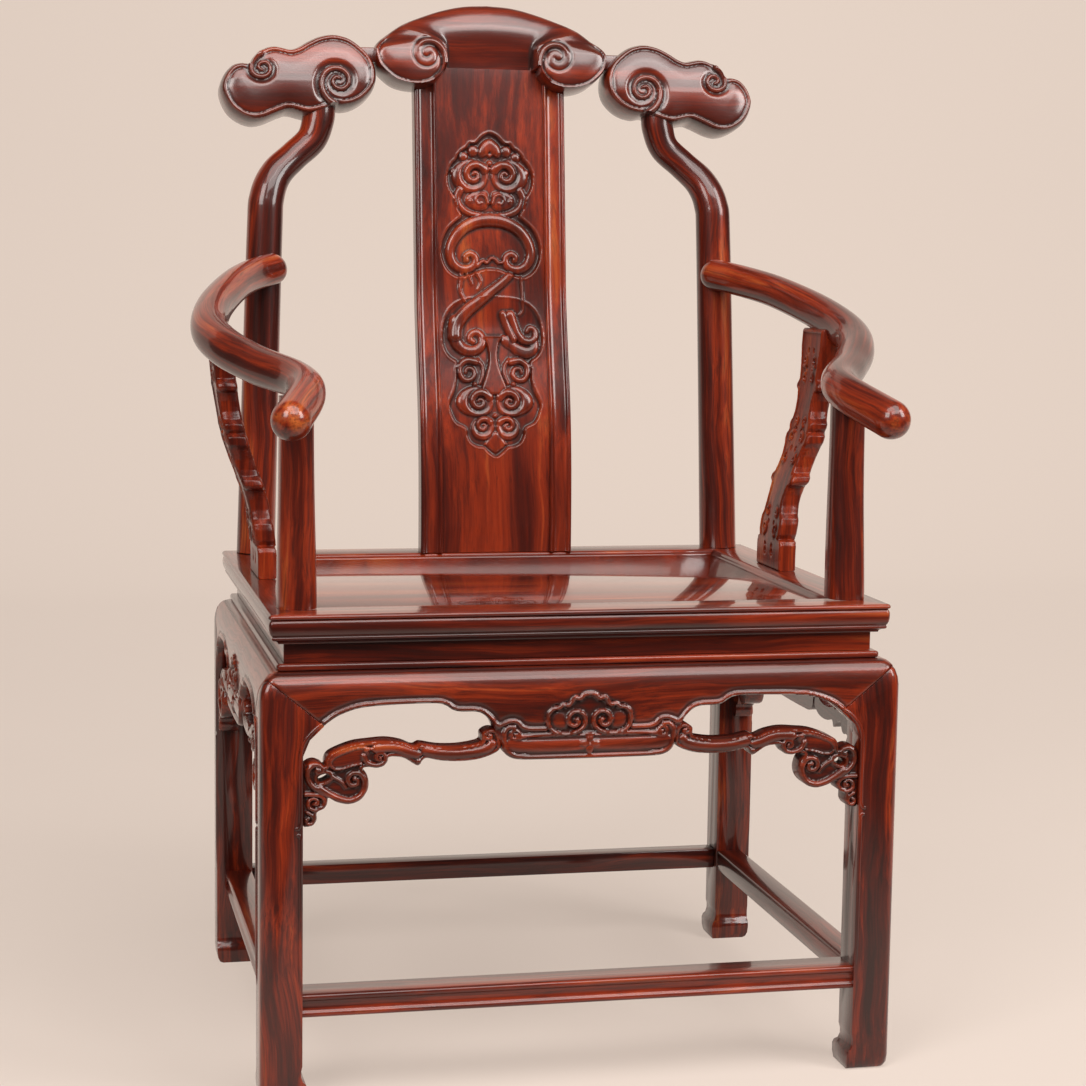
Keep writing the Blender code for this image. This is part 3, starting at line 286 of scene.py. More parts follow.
def refined(nodes, wood, place_name, width=leg_ease):
    """Copies of solids whose shape is right, their edges eased as a joiner's plane leaves them."""
    for node in nodes:
        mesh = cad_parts[node].data.copy()
        mesh.name = "dressed_" + node
        work = bmesh.new()
        work.from_mesh(mesh)
        bmesh.ops.remove_doubles(work, verts=work.verts, dist=0.00002)
        bmesh.ops.dissolve_limit(work, angle_limit=math.radians(0.3), verts=work.verts, edges=work.edges)
        sharp = [edge for edge in work.edges if len(edge.link_faces) == 2
                 and edge.calc_face_angle(0) > math.radians(ease_sharp)]
        bmesh.ops.bevel(work, geom=sharp, affect="EDGES", offset=width, offset_type="OFFSET", segments=2,
                        profile=0.5, material=-1, clamp_overlap=True)
        work.to_mesh(mesh)
        work.free()
        mesh.shade_smooth()
        mesh.set_sharp_from_angle(angle=math.radians(shade_sharp))
        finished(mesh, wood, place_name, node)


leg_wood = rosewood("leg_rosewood", "Z", 0.4, -0.010, swirl=0.050, calm=-0.30)
refined(["leg_front_left", "leg_front_right", "leg_back_left", "leg_back_right"], leg_wood, "leg_wood")

# Four stretchers between the legs, tenoned into them, the front and side ones with a shallow
# hollow along the outer face. Straight-grained rosewood, waxed.
mm = 0.001
chair_sides = {"front": (0, 296.0, 279.0), "right": (90, 236.0, 339.0), "left": (270, 236.0, 339.0)}
stretcher_low, stretcher_tall, stretcher_edge, stretcher_entry = 90.0, 24.0, 0.8, 0.4
stretcher_sizes = {"front": (3.0, 39.0), "right": (10.0, 32.0), "left": (10.0, 32.0)}
lower_face = ((3.0, 0.0), (1.2, 0.5), (0.3, 1.8), (0.0, 3.4), (0.5, 5.2), (1.8, 6.3), (2.6, 7.4),
              (3.2, 9.2), (3.4, 12.0))
stretcher_face = [*lower_face, *((deep, stretcher_tall - up) for deep, up in lower_face[-2::-1])]


def lofted(name, rings, sharp=48, grain=None):
    """A solid bar through rings of points, bent from a flat grid and closed at its ends. The
    grain gives where each point lay before the bar was bent."""
    rings = np.array(rings)
    rows, columns = rings.shape[:2]
    work = bmesh.new()
    bmesh.ops.create_grid(work, x_segments=columns, y_segments=rows - 1, size=0.5)
    layer = work.verts.layers.float_vector.new("grain") if grain is not None else None
    for vert in work.verts:
        spot = round((vert.co.y + 0.5) * (rows - 1)), round((vert.co.x + 0.5) * columns) % columns
        vert.co = rings[spot]
        if layer:
            vert[layer] = grain[spot]
    bmesh.ops.remove_doubles(work, verts=work.verts, dist=0.000001)
    bmesh.ops.holes_fill(work, edges=[edge for edge in work.edges if edge.is_boundary], sides=0)
    bmesh.ops.recalc_face_normals(work, faces=work.faces)
    return meshed(work, name, sharp)


def on_side(turn_degrees):
    """Places points of one side of the chair: millimetres across, out of the middle and up."""
    turn = Matrix.Rotation(math.radians(turn_degrees), 3, "Z")
    return lambda x, out, z: turn @ Vector((x * mm, -out * mm, z * mm)) + Vector((0, seat_middle, 0))


def stretcher(side, wood):
    """A bar with a thread along the top and the bottom of its outer face and a hollow between."""
    turn_degrees, clear, apron_out = chair_sides[side]
    set_back, width = stretcher_sizes[side]
    place, reach = on_side(turn_degrees), clear + stretcher_entry
    section = [(width, stretcher_edge), (width - stretcher_edge, 0.0), *stretcher_face,
               (width - stretcher_edge, stretcher_tall), (width, stretcher_tall - stretcher_edge)]
    rings = [[place(x, apron_out - set_back - deep, stretcher_low + up) for deep, up in section]
             for x in np.linspace(-reach, reach, 7)]
    finished(lofted("stretcher_" + side + "_moulded", rings), wood, "leg_wood", "stretcher_" + side)


cross_wood = rosewood("stretcher_rosewood", "X", 1.3, -0.015, calm=-0.15)
depth_wood = rosewood("side_stretcher_rosewood", "Y", 2.1, -0.015, calm=-0.15)
refined(["stretcher_back"], cross_wood, "leg_wood")
stretcher("front", cross_wood)
stretcher("right", depth_wood)
stretcher("left", depth_wood)

# Four aprons of solid rosewood, mitred over the heads of the legs. Their faces swell out under
# the seat frame, and the lower edge carries a carved thread, a beaded rail and a cloud with
# two curls over a small four-petalled flower. The back one is plain.
apron_cell, apron_thick, apron_edge = 1.45, 26.0, 1.2
leg_head, mitre_wide, mitre_back, mitre_rows, mitre_low = 446.2, 43.0, 2.4, 7, 440.0
shoulder_in, shoulder_up, shoulder_end, corner_round = 14.5, 26.0, 0.995, 8.0
apron_behind, apron_past_leg = -24, 16
plain_sides = ((0.0, 0.95), (0.0, 1.0))
swelling_sides = ((0.6, 0.1), (0.9, 0.28), (1.0, 0.5), (0.9, 0.72), (0.6, 0.9), (0.1, 1.0))
board_sharp, shade_reach, shade_full, bead_foot, least_rim, even_rounds = 50, 2.2, 0.55, 0.55, 12, 8
apron_arch = ((274.7, 393.0), (266.0, 399.8), (257.2, 404.5), (240.4, 410.0), (220.2, 412.2),
              (190.3, 413.3), (160.1, 413.2), (150.1, 410.5), (143.3, 406.0), (135.3, 404.0),
              (120.2, 403.5), (112.2, 401.0), (105.1, 395.0), (101.2, 389.4), (99.2, 384.6))
apron_rail = ((91.5, 368.0), (90.0, 361.0), (84.1, 355.5), (74.0, 352.5), (50.0, 351.8), (0.0, 351.5))
apron_thread = ((276.0, 395.5), (266.3, 402.6), (257.8, 407.0), (240.9, 412.5), (220.4, 414.7),
                (190.3, 415.8), (159.6, 415.7), (149.0, 412.8), (142.3, 408.4), (135.0, 406.5),
                (119.8, 406.0), (110.8, 403.3), (103.1, 396.6), (98.6, 390.6), (94.5, 388.2),
                (89.5, 390.3), (82.5, 392.5), (75.5, 391.0), (70.5, 386.0), (62.0, 383.6), (46.5, 383.2))
rail_curl = ((77.9, 378.8), (75.9, 377.4), (76.4, 374.9), (79.4, 374.1), (82.2, 376.3), (82.4, 380.2),
             (79.3, 383.0), (75.2, 382.2), (73.0, 378.6))
rail_low_bead = ((79.0, 386.2), (84.5, 386.4), (88.9, 382.6), (89.7, 376.0), (88.4, 366.0), (83.4, 359.4),
                 (74.0, 355.6), (50.0, 354.6), (0.0, 354.3), (-6.0, 354.3))
rail_high_bead = ((74.6, 374.6), (66.0, 377.0), (45.0, 377.6), (0.0, 377.8), (-6.0, 377.8))
rail_band = ((82.0, 368.5), (72.0, 366.4), (45.0, 366.0), (-6.0, 365.9))
cloud_rim = ((-5.0, 419.2), (0.0, 419.8), (6.0, 418.2), (10.5, 414.3), (15.5, 414.9), (19.5, 411.0),
             (22.6, 407.4), (28.0, 408.4), (32.5, 405.2), (38.0, 404.4), (42.5, 400.4), (44.3, 393.0),
             (42.3, 385.0), (36.0, 379.6), (26.0, 377.8), (15.0, 379.2), (7.5, 383.6), (4.0, 390.4),
             (6.0, 397.2), (12.0, 401.0), (18.8, 399.4), (22.6, 393.6), (20.6, 387.6), (15.4, 385.8),
             (11.6, 389.0), (13.4, 392.8))
cloud_field = ((0.0, 422.0), (12.0, 417.5), (21.0, 412.5), (31.0, 410.0), (41.0, 406.0), (46.6, 397.0),
               (46.0, 386.0), (38.0, 378.0), (20.0, 375.5), (0.0, 378.0))
cloud_sunk, thread_ditch, thread_ditch_below = 1.5, 0.9, 430
apron_beads = ((apron_thread, 2.7, 1.9, 0.9), (rail_low_bead, 2.5, 2.5), (rail_high_bead, 2.2, 2.2),
               (rail_band, 6.8, 2.2, 0.95), (rail_curl, 1.9, 2.4), (cloud_rim, 2.6, 4.2, 0.95))
apron_knobs = (((14.2, 392.4), 2.2, 4.0), ((31.0, 391.0), 8.5, 2.0, 1.2, 1.2))
flower_height, petal_rise, petal_stretch = 367.2, 3.6, 1.35
petals = ((0, 6.0, 4.6), (90, 4.8, 4.2), (180, 6.0, 4.6), (270, 5.4, 4.4))
flower = [((reach * math.cos(math.radians(angle)), flower_height + reach * math.sin(math.radians(angle))),
           size, petal_rise, petal_stretch, math.radians(angle)) for angle, reach, size in petals]
flower.append(((0, flower_height), 2.2, 4.6))


def smooth_line(points, steps=5, closed=False):
    """Points on a smooth line through the given ones."""
    knots = np.array(points, float)
    if closed:
        knots = np.vstack((knots[-1], knots, knots[0], knots[1]))
    else:
        knots = np.vstack((2 * knots[0] - knots[1], knots, 2 * knots[-1] - knots[-2]))
    shares = np.arange(steps)[:, None] / steps
    line = []
    for before, start, end, after in zip(knots, knots[1:], knots[2:], knots[3:]):
        line.append((2 * start + (end - before) * shares
                     + (2 * before - 5 * start + 4 * end - after) * shares ** 2
                     + (3 * start - before - 3 * end + after) * shares ** 3) / 2)
    if not closed:
        line.append(knots[-2:-1])
    return np.vstack(line)


def closed_pair(half, steps=4):
    """A closed outline from the half on one side of the middle."""
    return smooth_line(list(half) + [(-x, z) for x, z in reversed(half) if x > 0.5], steps, closed=True)


def folded(places, scale=1.0):
    """Places brought to one side of the middle, and to the width that the lines were drawn at."""
    return np.column_stack((np.abs(places[:, 0]) / scale, places[:, 1]))


def nearest(places, line, closed=False):
    """Distance of each place to a line and the share along it."""
    starts = line if closed else line[:-1]
    ends = np.roll(line, -1, axis=0) if closed else line[1:]
    lengths = np.linalg.norm(ends - starts, axis=1)
    passed = np.concatenate(([0], np.cumsum(lengths)))
    best = np.full(len(places), 1e9)
    share = np.zeros(len(places))
    for start, end, length, before in zip(starts, ends, lengths, passed):
        if length < 1e-9:
            continue
        ahead = (end - start) / length
        along = np.clip((places - start) @ ahead, 0, length)
        gap = np.hypot(*(places - (start + along[:, None] * ahead)).T)
        closer = gap < best
        best[closer] = gap[closer]
        share[closer] = (before + along[closer]) / passed[-1]
    return best, share


def within(places, outline):
    """Which places lie inside a closed outline."""
    found = np.zeros(len(places), bool)
    x, z = places.T
    for (x0, z0), (x1, z1) in zip(outline, np.roll(outline, -1, axis=0)):
        crossing = (z0 > z) != (z1 > z)
        if z1 != z0:
            found ^= crossing & (x < (x1 - x0) * (z - z0) / (z1 - z0) + x0)
    return found


def round_share(gap, radius):
    """1 on the crown of a round thread, 0 from its radius on."""
    return np.sqrt(np.clip(1 - (gap / radius) ** 2, 0, 1))


def cushion_share(gap, soft, least=0.0):
    """0 at a rounded edge, 1 from its soft width on."""
    return np.sqrt(1 - (1 - np.clip(gap / soft, least, 1)) ** 2)


def bell(gap, width, power=2):
    """1 in the middle of a groove or patch, falling softly to 0 past its width."""
    return np.exp(-(gap / width) ** power)


def bead(places, line, radius, height, tip=1.0, rise_share=0.0):
    """A raised round thread along a line, its radius changing towards the end. It may start
    level with the ground and rise over a share of its length."""
    line = smooth_line(line)
    rise = np.zeros(len(places))
    widest = radius * max(1.0, tip)
    near = np.all((places > line.min(0) - widest) & (places < line.max(0) + widest), axis=1)
    gap, share = nearest(places[near], line)
    reach = radius * (1 + (tip - 1) * share)
    tall = height * (reach / radius)
    if rise_share:
        tall = tall * np.clip(bead_foot + (1 - bead_foot) * share / rise_share, 0, 1)
    rise[near] = tall * round_share(gap, reach)
    return rise


def swell(places, outline, height, soft):
    """A raised field with rounded edges inside a closed outline."""
    outline = smooth_line(outline, closed=True)
    rise = np.zeros(len(places))
    near = np.flatnonzero(np.all((places > outline.min(0)) & (places < outline.max(0)), axis=1))
    near = near[within(places[near], outline)]
    rise[near] = height * cushion_share(nearest(places[near], outline, closed=True)[0], soft)
    return rise


def knob(places, centre, radius, height, stretch=1.0, turn=0.0):
    """A small domed knob or petal, stretched along one direction."""
    away = places - np.array(centre)
    along = away @ (math.cos(turn), math.sin(turn)) / stretch
    aside = away @ (-math.sin(turn), math.cos(turn))
    return height * round_share(np.hypot(along, aside), radius)


def relief(places, beads=(), swells=(), knobs=()):
    """The highest of the beads, swells and knobs carved at each place."""
    rise = np.zeros(len(places))
    for shape, group in ((bead, beads), (swell, swells), (knob, knobs)):
        for sizes in group:
            rise = np.maximum(rise, shape(places, *sizes))
    return rise


def rounded(gap, radius):
    """How far a rounded edge falls back at a distance from the outline."""
    return radius - np.sqrt(radius ** 2 - (radius - np.clip(gap, 0, radius)) ** 2)


def outward(loop):
    """Directions out of a closed outline at its points."""
    along = np.roll(loop, -1, axis=0) - np.roll(loop, 1, axis=0)
    turn = np.sum(loop[:, 0] * np.roll(loop[:, 1], -1) - np.roll(loop[:, 0], -1) * loop[:, 1])
    ways = np.column_stack((along[:, 1], -along[:, 0])) * (1 if turn > 0 else -1)
    return ways / np.linalg.norm(ways, axis=1)[:, None]


def read_round(loop, values, shares):
    """Values given at the points of a closed outline, read at shares of its length."""
    lengths = np.linalg.norm(np.roll(loop, -1, axis=0) - loop, axis=1)
    at = np.concatenate(([0], np.cumsum(lengths)[:-1])) / lengths.sum()
    return np.column_stack([np.interp(shares, at, part, period=1) for part in values.T])


def evened(work, rim, shares):
    """Shares of an outline's length for the rim of a sheet, made to run on evenly round it."""
    ahead = {}
    for edge in work.edges:
        if edge.is_boundary:
            start = edge.link_loops[0].vert
            ahead[start] = edge.other_vert(start)
    number = {vert: index for index, vert in enumerate(rim)}
    left = set(ahead)
    shares = shares.copy()
    for first in rim:
        if first not in left:
            continue
        chain, vert = [], first
        while vert in left:
            left.discard(vert)
            chain.append(number[vert])
            vert = ahead[vert]
        if vert is not first or len(chain) < least_rim:
            continue
        passed = np.unwrap(shares[chain], period=1)
        way = round(passed[-1] - passed[0] + (shares[chain[0]] - shares[chain[-1]] + 0.5) % 1 - 0.5)
        even = way * np.arange(len(chain)) / len(chain)
        off = passed - even
        for _ in range(even_rounds):
            off = (np.roll(off, 1) + 2 * off + np.roll(off, -1)) / 4
        shares[chain] = (even + off) % 1
    return shares


def sheet_depth(places, loops):
    """Distance of each place to the nearest of a sheet's outlines."""
    return np.min([nearest(places, loop, closed=True)[0] for loop in loops], axis=0)


def painted_shade_and_highlight(places, face, cell):
    """How far each place stands above or below its surroundings, for painted shade and highlight."""
    order = np.lexsort((places[:, 0].round(3), places[:, 1].round(3)))
    rows = len(np.unique(places[:, 1].round(3)))
    sheet = face[order].reshape(rows, -1)
    reach = max(1, int(round(shade_reach / cell)))
    blurred = sheet
    for axis in (0, 1, 0, 1):
        rolled = [np.roll(blurred, step, axis) for step in range(-reach, reach + 1)]
        blurred = sum(rolled) / len(rolled)
    shade = np.zeros(len(places))
    shade[order] = np.clip((sheet - blurred) / shade_full, -1, 1).ravel()
    return shade


def carved_board(name, loops, cell, carving, back, place, belly=0.0):
    """A board cut to its outline from a fine grid. The carving gives how far its face stands out
    and the belly how far its sides swell beyond the outline of the face."""
    low, high = loops[0].min(0) - cell, loops[0].max(0) + cell
    counts = np.maximum(np.round((high - low) / cell).astype(int), 2)
    work = bmesh.new()
    # This layer holds the painted shade and highlight of the relief for the wood's colour.
    layer = work.verts.layers.float.new("relief_shade_and_highlight")
    bmesh.ops.create_grid(work, x_segments=int(counts[0]), y_segments=int(counts[1]), size=0.5)
    bmesh.ops.scale(work, vec=(*(high - low), 1), verts=work.verts)
    bmesh.ops.translate(work, vec=(*(low + high) / 2, 0), verts=work.verts)
    places = np.array([vert.co.xy for vert in work.verts])
    solid = np.logical_xor.reduce([within(places, loop) for loop in loops])
    depth = np.where(solid, 1, -1) * sheet_depth(places, loops)
    shade = painted_shade_and_highlight(places, carving(places, np.maximum(depth, 0)), cell)
    for vert, value in zip(work.verts, shade):
        vert[layer] = value
    bmesh.ops.delete(work, geom=[vert for vert, value in zip(work.verts, depth) if value < -0.5 * cell],
                     context="VERTS")
    bmesh.ops.delete(work, geom=[vert for vert in work.verts if not vert.link_faces], context="VERTS")
    rim = [vert for vert in work.verts if vert.is_boundary]
    spots = np.array([vert.co.xy for vert in rim])
    best, spot, ways = np.full(len(rim), 1e9), spots.copy(), spots.copy()
    for loop in loops:
        gap, share = nearest(spots, loop, closed=True)
        share = evened(work, rim, share)
        closer = gap < best
        best[closer] = gap[closer]
        spot[closer] = read_round(loop, loop, share[closer])
        ways[closer] = read_round(loop, outward(loop), share[closer])
    # Rim vertices move onto the outline and carry no painted shade or highlight.
    for vert, flat in zip(rim, spot):
        vert.co.xy = flat
        vert[layer] = 0.0
    places = np.array([vert.co.xy for vert in work.verts])
    for vert, out in zip(work.verts, carving(places, sheet_depth(places, loops))):
        vert.co.z = out
    edges = [edge for edge in work.edges if edge.is_boundary]
    rim = {vert: (vert.co.copy(), Vector(way)) for vert, way in zip(rim, ways)}
    for out, down in swelling_sides if belly else plain_sides:
        made = bmesh.ops.extrude_edge_only(work, edges=edges)["geom"]
        edges = [item for item in made if isinstance(item, bmesh.types.BMEdge) and item.is_boundary]
        moved = {}
        for vert in {vert for edge in edges for vert in edge.verts}:
            beside = (edge.other_vert(vert) for edge in vert.link_edges)
            start, way = moved[vert] = rim[next(other for other in beside if other in rim)]
            vert.co.xy = start.xy + way * belly * out
            vert.co.z = start.z - (back + start.z) * down
        rim = moved
    bmesh.ops.triangle_fill(work, use_beauty=True, use_dissolve=False, edges=edges)
    bmesh.ops.recalc_face_normals(work, faces=work.faces)
    for vert in work.verts:
        vert.co = place(vert.co.x, vert.co.z, vert.co.y)
    return meshed(work, name, board_sharp)


def shoulder(height):
    """How far the face falls back near the top of an apron."""
    share = np.clip((height - (leg_head - shoulder_up)) / shoulder_up, 0, 1)
    fall = 1 - np.sqrt(1 - np.minimum(share, shoulder_end) ** 2)
    return shoulder_in * fall / (1 - math.sqrt(1 - shoulder_end ** 2))


def apron_outline(clear, scale):
    """The outline of an apron from mitre to mitre."""
    reach, (tip, tip_height) = clear + mitre_wide, apron_arch[0]
    slope = (leg_head - tip_height) / (reach - tip * scale)
    right = [(min(reach - (leg_head - height) / slope, reach - shoulder(height) - mitre_back), height)
             for height in np.linspace(leg_head, mitre_low, mitre_rows)]
    lower = ((tip, tip_height), *smooth_line(apron_arch[1:]), *smooth_line(apron_rail)[:-1])
    right = np.array(right + [(x * scale, z) for x, z in lower])
    return np.vstack((right, right[::-1] * (-1, 1)))


def apron_carving(clear, scale):
    """The carved face of an apron."""
    cloud_ground = closed_pair(cloud_field, 5)

    def face(places, depth):
        flat = folded(places, scale)
        fall = shoulder(places[:, 1])
        past = np.clip(np.abs(places[:, 0]) - (clear + mitre_wide - fall - corner_round), 0,
                       corner_round * 0.98)
        out = -fall - (corner_round - np.sqrt(corner_round ** 2 - past ** 2))
        out -= cloud_sunk * within(flat, cloud_ground)
        ditch = bell(nearest(flat, smooth_line(apron_thread))[0] - 4.2, 2.4)
        out -= thread_ditch * ditch * (flat[:, 1] < thread_ditch_below)
        raised = np.maximum(relief(flat, apron_beads, knobs=apron_knobs),
                            relief(places / (scale, 1), knobs=flower))
        return out + raised - rounded(depth, apron_edge)
    return face


def apron(side, wood):
    turn_degrees, clear, apron_out = chair_sides[side]
    scale, turned = clear / chair_sides["front"][1], on_side(turn_degrees)

    def place(x, out, z):
        if out < apron_behind and abs(x) > clear + apron_past_leg:
            x = math.copysign(clear + apron_past_leg, x)
        return turned(x, apron_out + out, z)

    mesh = carved_board("apron_" + side + "_carved", [apron_outline(clear, scale)], apron_cell,
                        apron_carving(clear, scale), apron_thick, place)
    finished(mesh, wood, "apron_wood", "apron_" + side)


front_wood = rosewood("apron_rosewood", "X", 3.4, -0.030, swirl=0.035, calm=-0.20)
side_wood = rosewood("side_apron_rosewood", "Y", 6.1, -0.015, swirl=0.035, calm=-0.20)
apron("front", front_wood)
apron("right", side_wood)
apron("left", side_wood)
refined(["apron_back"], front_wood, "apron_wood")

# A round thread is carved along the inner edges of the legs. It runs down from the arch of the
# apron to a small hooked notch, and from there down to the stretcher.
thread_lines = {
    "upper": ((275.6, 396.0), (284.4, 389.4), (292.4, 380.4), (297.2, 370.0), (298.3, 358.0),
              (298.4, 330.0), (298.4, 300.0), (298.9, 292.0), (301.4, 288.2), (304.2, 289.6)),
    "lower": ((303.2, 280.6), (300.0, 281.6), (298.2, 278.0), (298.4, 268.0), (298.4, 200.0),
              (298.4, 112.0))}
thread_radius, thread_sunk, thread_taper = 2.3, 1.0, (0.35, 0.75, 0.95, 1.0)
thread_scales = {"front": 1.0, "right": 0.801, "left": 0.801}


def thread(side, end, hand, part):
    """A thread on a leg, following a line on the plane of the aprons and tapering at both ends."""
    turn_degrees, _, apron_out = chair_sides[side]
    place, name = on_side(turn_degrees), "_".join(("leg_thread", side, end, part))
    line = smooth_line([(hand * x * thread_scales[side], z) for x, z in thread_lines[part]], 6)
    ways = np.gradient(line, axis=0)
    ways /= np.linalg.norm(ways, axis=1)[:, None]
    rings = []
    for number, ((x, z), (way_x, way_z)) in enumerate(zip(line, ways)):
        radius = thread_radius * thread_taper[min(number, len(line) - 1 - number, len(thread_taper) - 1)]
        rings.append([place(x + radius * math.cos(angle) * way_z,
                            apron_out - thread_sunk - radius * math.sin(angle),
                            z - radius * math.cos(angle) * way_x)
                      for angle in np.arange(14) * math.pi / 7])
    finished(lofted(name, rings, 70), leg_wood, "leg_wood")


for side in chair_sides:
    for end, hand in (("near", -1), ("far", 1)):
        for part in thread_lines:
            thread(side, end, hand, part)

# Six openwork brackets that fill the corners between legs and aprons. Each is a thick rosewood
# board sawn to scrolls and carved on its face with beads, curls and a pierced eye.
bracket_cell, bracket_thick, bracket_sunk, bracket_edge, bracket_root = 1.1, 25.0, 5.2, 1.0, 291
bracket_rim, bracket_rim_radius = 2.5, 2.3
bracket_outline = ((91.8, 366.9), (95.1, 360.8), (105.3, 355.9), (118.1, 352.7), (136.7, 351.6),
                   (155.0, 353.0), (168.7, 355.9), (173.4, 353.5), (175.2, 350.4), (178.0, 348.6),
                   (182.0, 350.2), (191.7, 356.4), (200.9, 358.5), (207.9, 358.1), (209.3, 353.8),
                   (213.5, 349.0), (220.9, 347.4), (229.0, 348.6), (234.5, 347.1), (230.6, 341.5),
                   (228.4, 331.8), (230.7, 322.4), (238.8, 314.0), (250.6, 311.2), (261.6, 313.9),
                   (269.3, 318.6), (270.6, 313.5), (274.3, 308.0), (280.9, 304.6), (281.4, 296.3),
                   (284.9, 290.4), (291.0, 288.9), (295.5, 291.0), (295.6, 308.0), (295.6, 326.2),
                   (295.5, 347.6), (291.4, 354.0), (284.3, 356.3), (277.1, 354.1), (273.3, 350.8),
                   (272.9, 356.5), (269.0, 363.2), (257.4, 368.9), (243.2, 373.4), (229.2, 375.0),
                   (210.3, 376.1), (193.8, 373.2), (182.5, 368.6), (177.9, 370.2), (173.6, 371.0),
                   (157.0, 367.8), (136.9, 367.2), (120.3, 369.3), (112.4, 372.2), (112.0, 379.7),
                   (105.7, 384.1), (98.1, 383.9), (92.4, 378.9), (91.8, 373.0))
bracket_eye = ((280.2, 339.6), (276.5, 342.0), (272.0, 342.9), (268.2, 341.4), (269.2, 338.6),
               (275.1, 335.1), (279.0, 335.3))
bracket_tongue = ((226.0, 367.2), (238.0, 369.4), (253.0, 365.4), (264.5, 360.0), (268.0, 353.6),
                  (264.0, 347.9), (255.5, 347.9), (246.0, 350.8), (236.5, 352.6))
bracket_beads = (
    (((101.5, 368.5), (106.0, 364.4), (118.0, 361.0), (137.0, 359.4), (156.0, 360.4),
      (171.5, 363.8)), 5.4, 4.2),
    (((180.0, 360.6), (187.0, 362.4), (197.0, 366.3), (208.0, 368.3), (221.0, 367.6)), 5.4, 4.2),
    (bracket_tongue, 1.8, 3.2),
    (((93.9, 366.0), (95.0, 376.0), (98.8, 381.6), (104.6, 382.2), (108.9, 378.9), (107.7, 374.8),
      (103.8, 374.4), (102.4, 377.2), (104.6, 378.4)), 2.5, 3.6, 0.8),
    (((234.5, 361.0), (230.5, 353.4), (221.4, 350.4), (214.0, 352.6), (211.8, 358.4), (215.0, 362.8),
      (220.0, 361.6), (221.0, 357.2), (217.4, 355.6), (216.4, 358.2)), 3.0, 4.4, 0.75),
    (((279.0, 328.6), (269.6, 322.4), (260.0, 317.3), (248.6, 314.6), (238.8, 318.0), (233.2, 326.0),
      (233.3, 335.6), (238.8, 342.4), (246.6, 342.2), (250.2, 336.0), (246.6, 330.4), (241.0, 331.4),
      (240.2, 336.4), (243.4, 338.0)), 4.3, 5.2, 0.55),
    (((270.0, 321.8), (279.0, 325.6), (286.2, 331.6), (290.6, 339.0), (290.3, 347.0), (285.6, 352.0),
      (279.2, 352.2), (275.8, 348.4), (277.6, 344.6), (281.6, 345.2), (281.2, 348.6)), 3.4, 4.8, 0.65),
    (((293.0, 322.6), (284.0, 322.2), (275.8, 319.2), (273.2, 312.8), (276.6, 307.2), (283.4, 305.8),
      (289.6, 309.2), (289.8, 315.4), (284.8, 318.2), (280.6, 315.4), (281.4, 311.6),
      (284.6, 312.2)), 2.7, 4.2, 0.75),
    (((291.0, 304.0), (286.0, 300.0), (285.0, 294.0), (289.6, 291.6), (292.6, 295.6),
      (289.8, 298.0)), 2.3, 3.6, 0.9),
    (((269.0, 341.5), (262.0, 338.0), (256.0, 334.0), (252.0, 328.0)), 2.6, 3.6, 0.6))
bracket_knobs = (((174.6, 368.2), 3.4, 4.4), ((176.2, 361.0), 3.0, 4.2), ((177.8, 353.6), 3.4, 4.2),
                 ((231.5, 366.5), 3.0, 4.2), ((243.3, 337.3), 2.7, 4.8), ((279.3, 347.6), 2.2, 4.6),
                 ((283.3, 313.3), 2.0, 4.4), ((104.4, 377.8), 1.9, 3.8), ((217.3, 358.6), 2.0, 4.4))


def bracket_carving(scale):
    def face(places, depth):
        flat = folded(places, scale)
        rim = bracket_rim * round_share(depth - bracket_rim_radius, bracket_rim_radius)
        raised = relief(flat, bracket_beads, [(bracket_tongue, 2.2, 4.5)], bracket_knobs)
        raised = np.maximum(raised, rim * (flat[:, 0] < bracket_root))
        return raised - bracket_sunk - rounded(depth, bracket_edge)
    return face


def bracket(name, side, hand, wood):
    turn_degrees, clear, apron_out = chair_sides[side]
    scale, turned = clear / chair_sides["front"][1], on_side(turn_degrees)
    loops = [smooth_line(points, 4, closed=True) * (hand * scale, 1)
             for points in (bracket_outline, bracket_eye)]
    mesh = carved_board("spandrel_" + name + "_carved", loops, bracket_cell, bracket_carving(scale),
                        bracket_thick, lambda x, out, z: turned(x, apron_out + out, z))
    finished(mesh, wood, "apron_wood", "spandrel_" + name)


bracket("front_left", "front", -1, front_wood)
bracket("front_right", "front", 1, front_wood)
bracket("right_front", "right", -1, side_wood)
bracket("right_back", "right", 1, side_wood)
bracket("left_back", "left", -1, side_wood)
bracket("left_front", "left", 1, side_wood)

# The seat frame: four rails with a moulded edge and rounded corners, mitred round a thin panel
# that floats a little lower, and under them the recessed waist and a thin bead.
seat_half_x, seat_half_y = 330.0, 270.0
corner_steps, straight_steps = 4, 5
rail_section = ((1.6, 504.4), (0.6, 503.4), (0.1, 502.0), (0.4, 500.8), (1.6, 500.1), (3.0, 499.6),
                (2.6, 498.8), (1.6, 497.6), (0.9, 495.6), (0.7, 492.6), (0.9, 489.4), (1.7, 486.2),
                (3.0, 483.8), (4.2, 482.7), (4.5, 482.0), (3.9, 481.3), (3.6, 480.3), (4.3, 479.0),
                (5.8, 478.3), (8.5, 477.6), (10.4, 476.4), (11.2, 474.3), (56.0, 474.3), (57.8, 476.0),
                (57.8, 498.0), (57.4, 499.6), (56.6, 500.6), (54.8, 501.4), (53.8, 502.6), (52.8, 504.2),
                (51.0, 505.0), (20.0, 505.0), (4.0, 505.0), (2.6, 504.9))
waist_section = ((0.0, 454.2), (0.0, 473.4), (0.5, 473.8), (20.0, 473.8), (20.0, 454.0), (0.4, 454.0))
bead_section = ((0.9, 452.9), (0.2, 451.6), (0.0, 450.1), (0.2, 448.6), (0.9, 447.3), (2.2, 446.6),
                (4.0, 446.5), (30.0, 446.5), (30.0, 453.7), (4.0, 453.7), (2.2, 453.6))


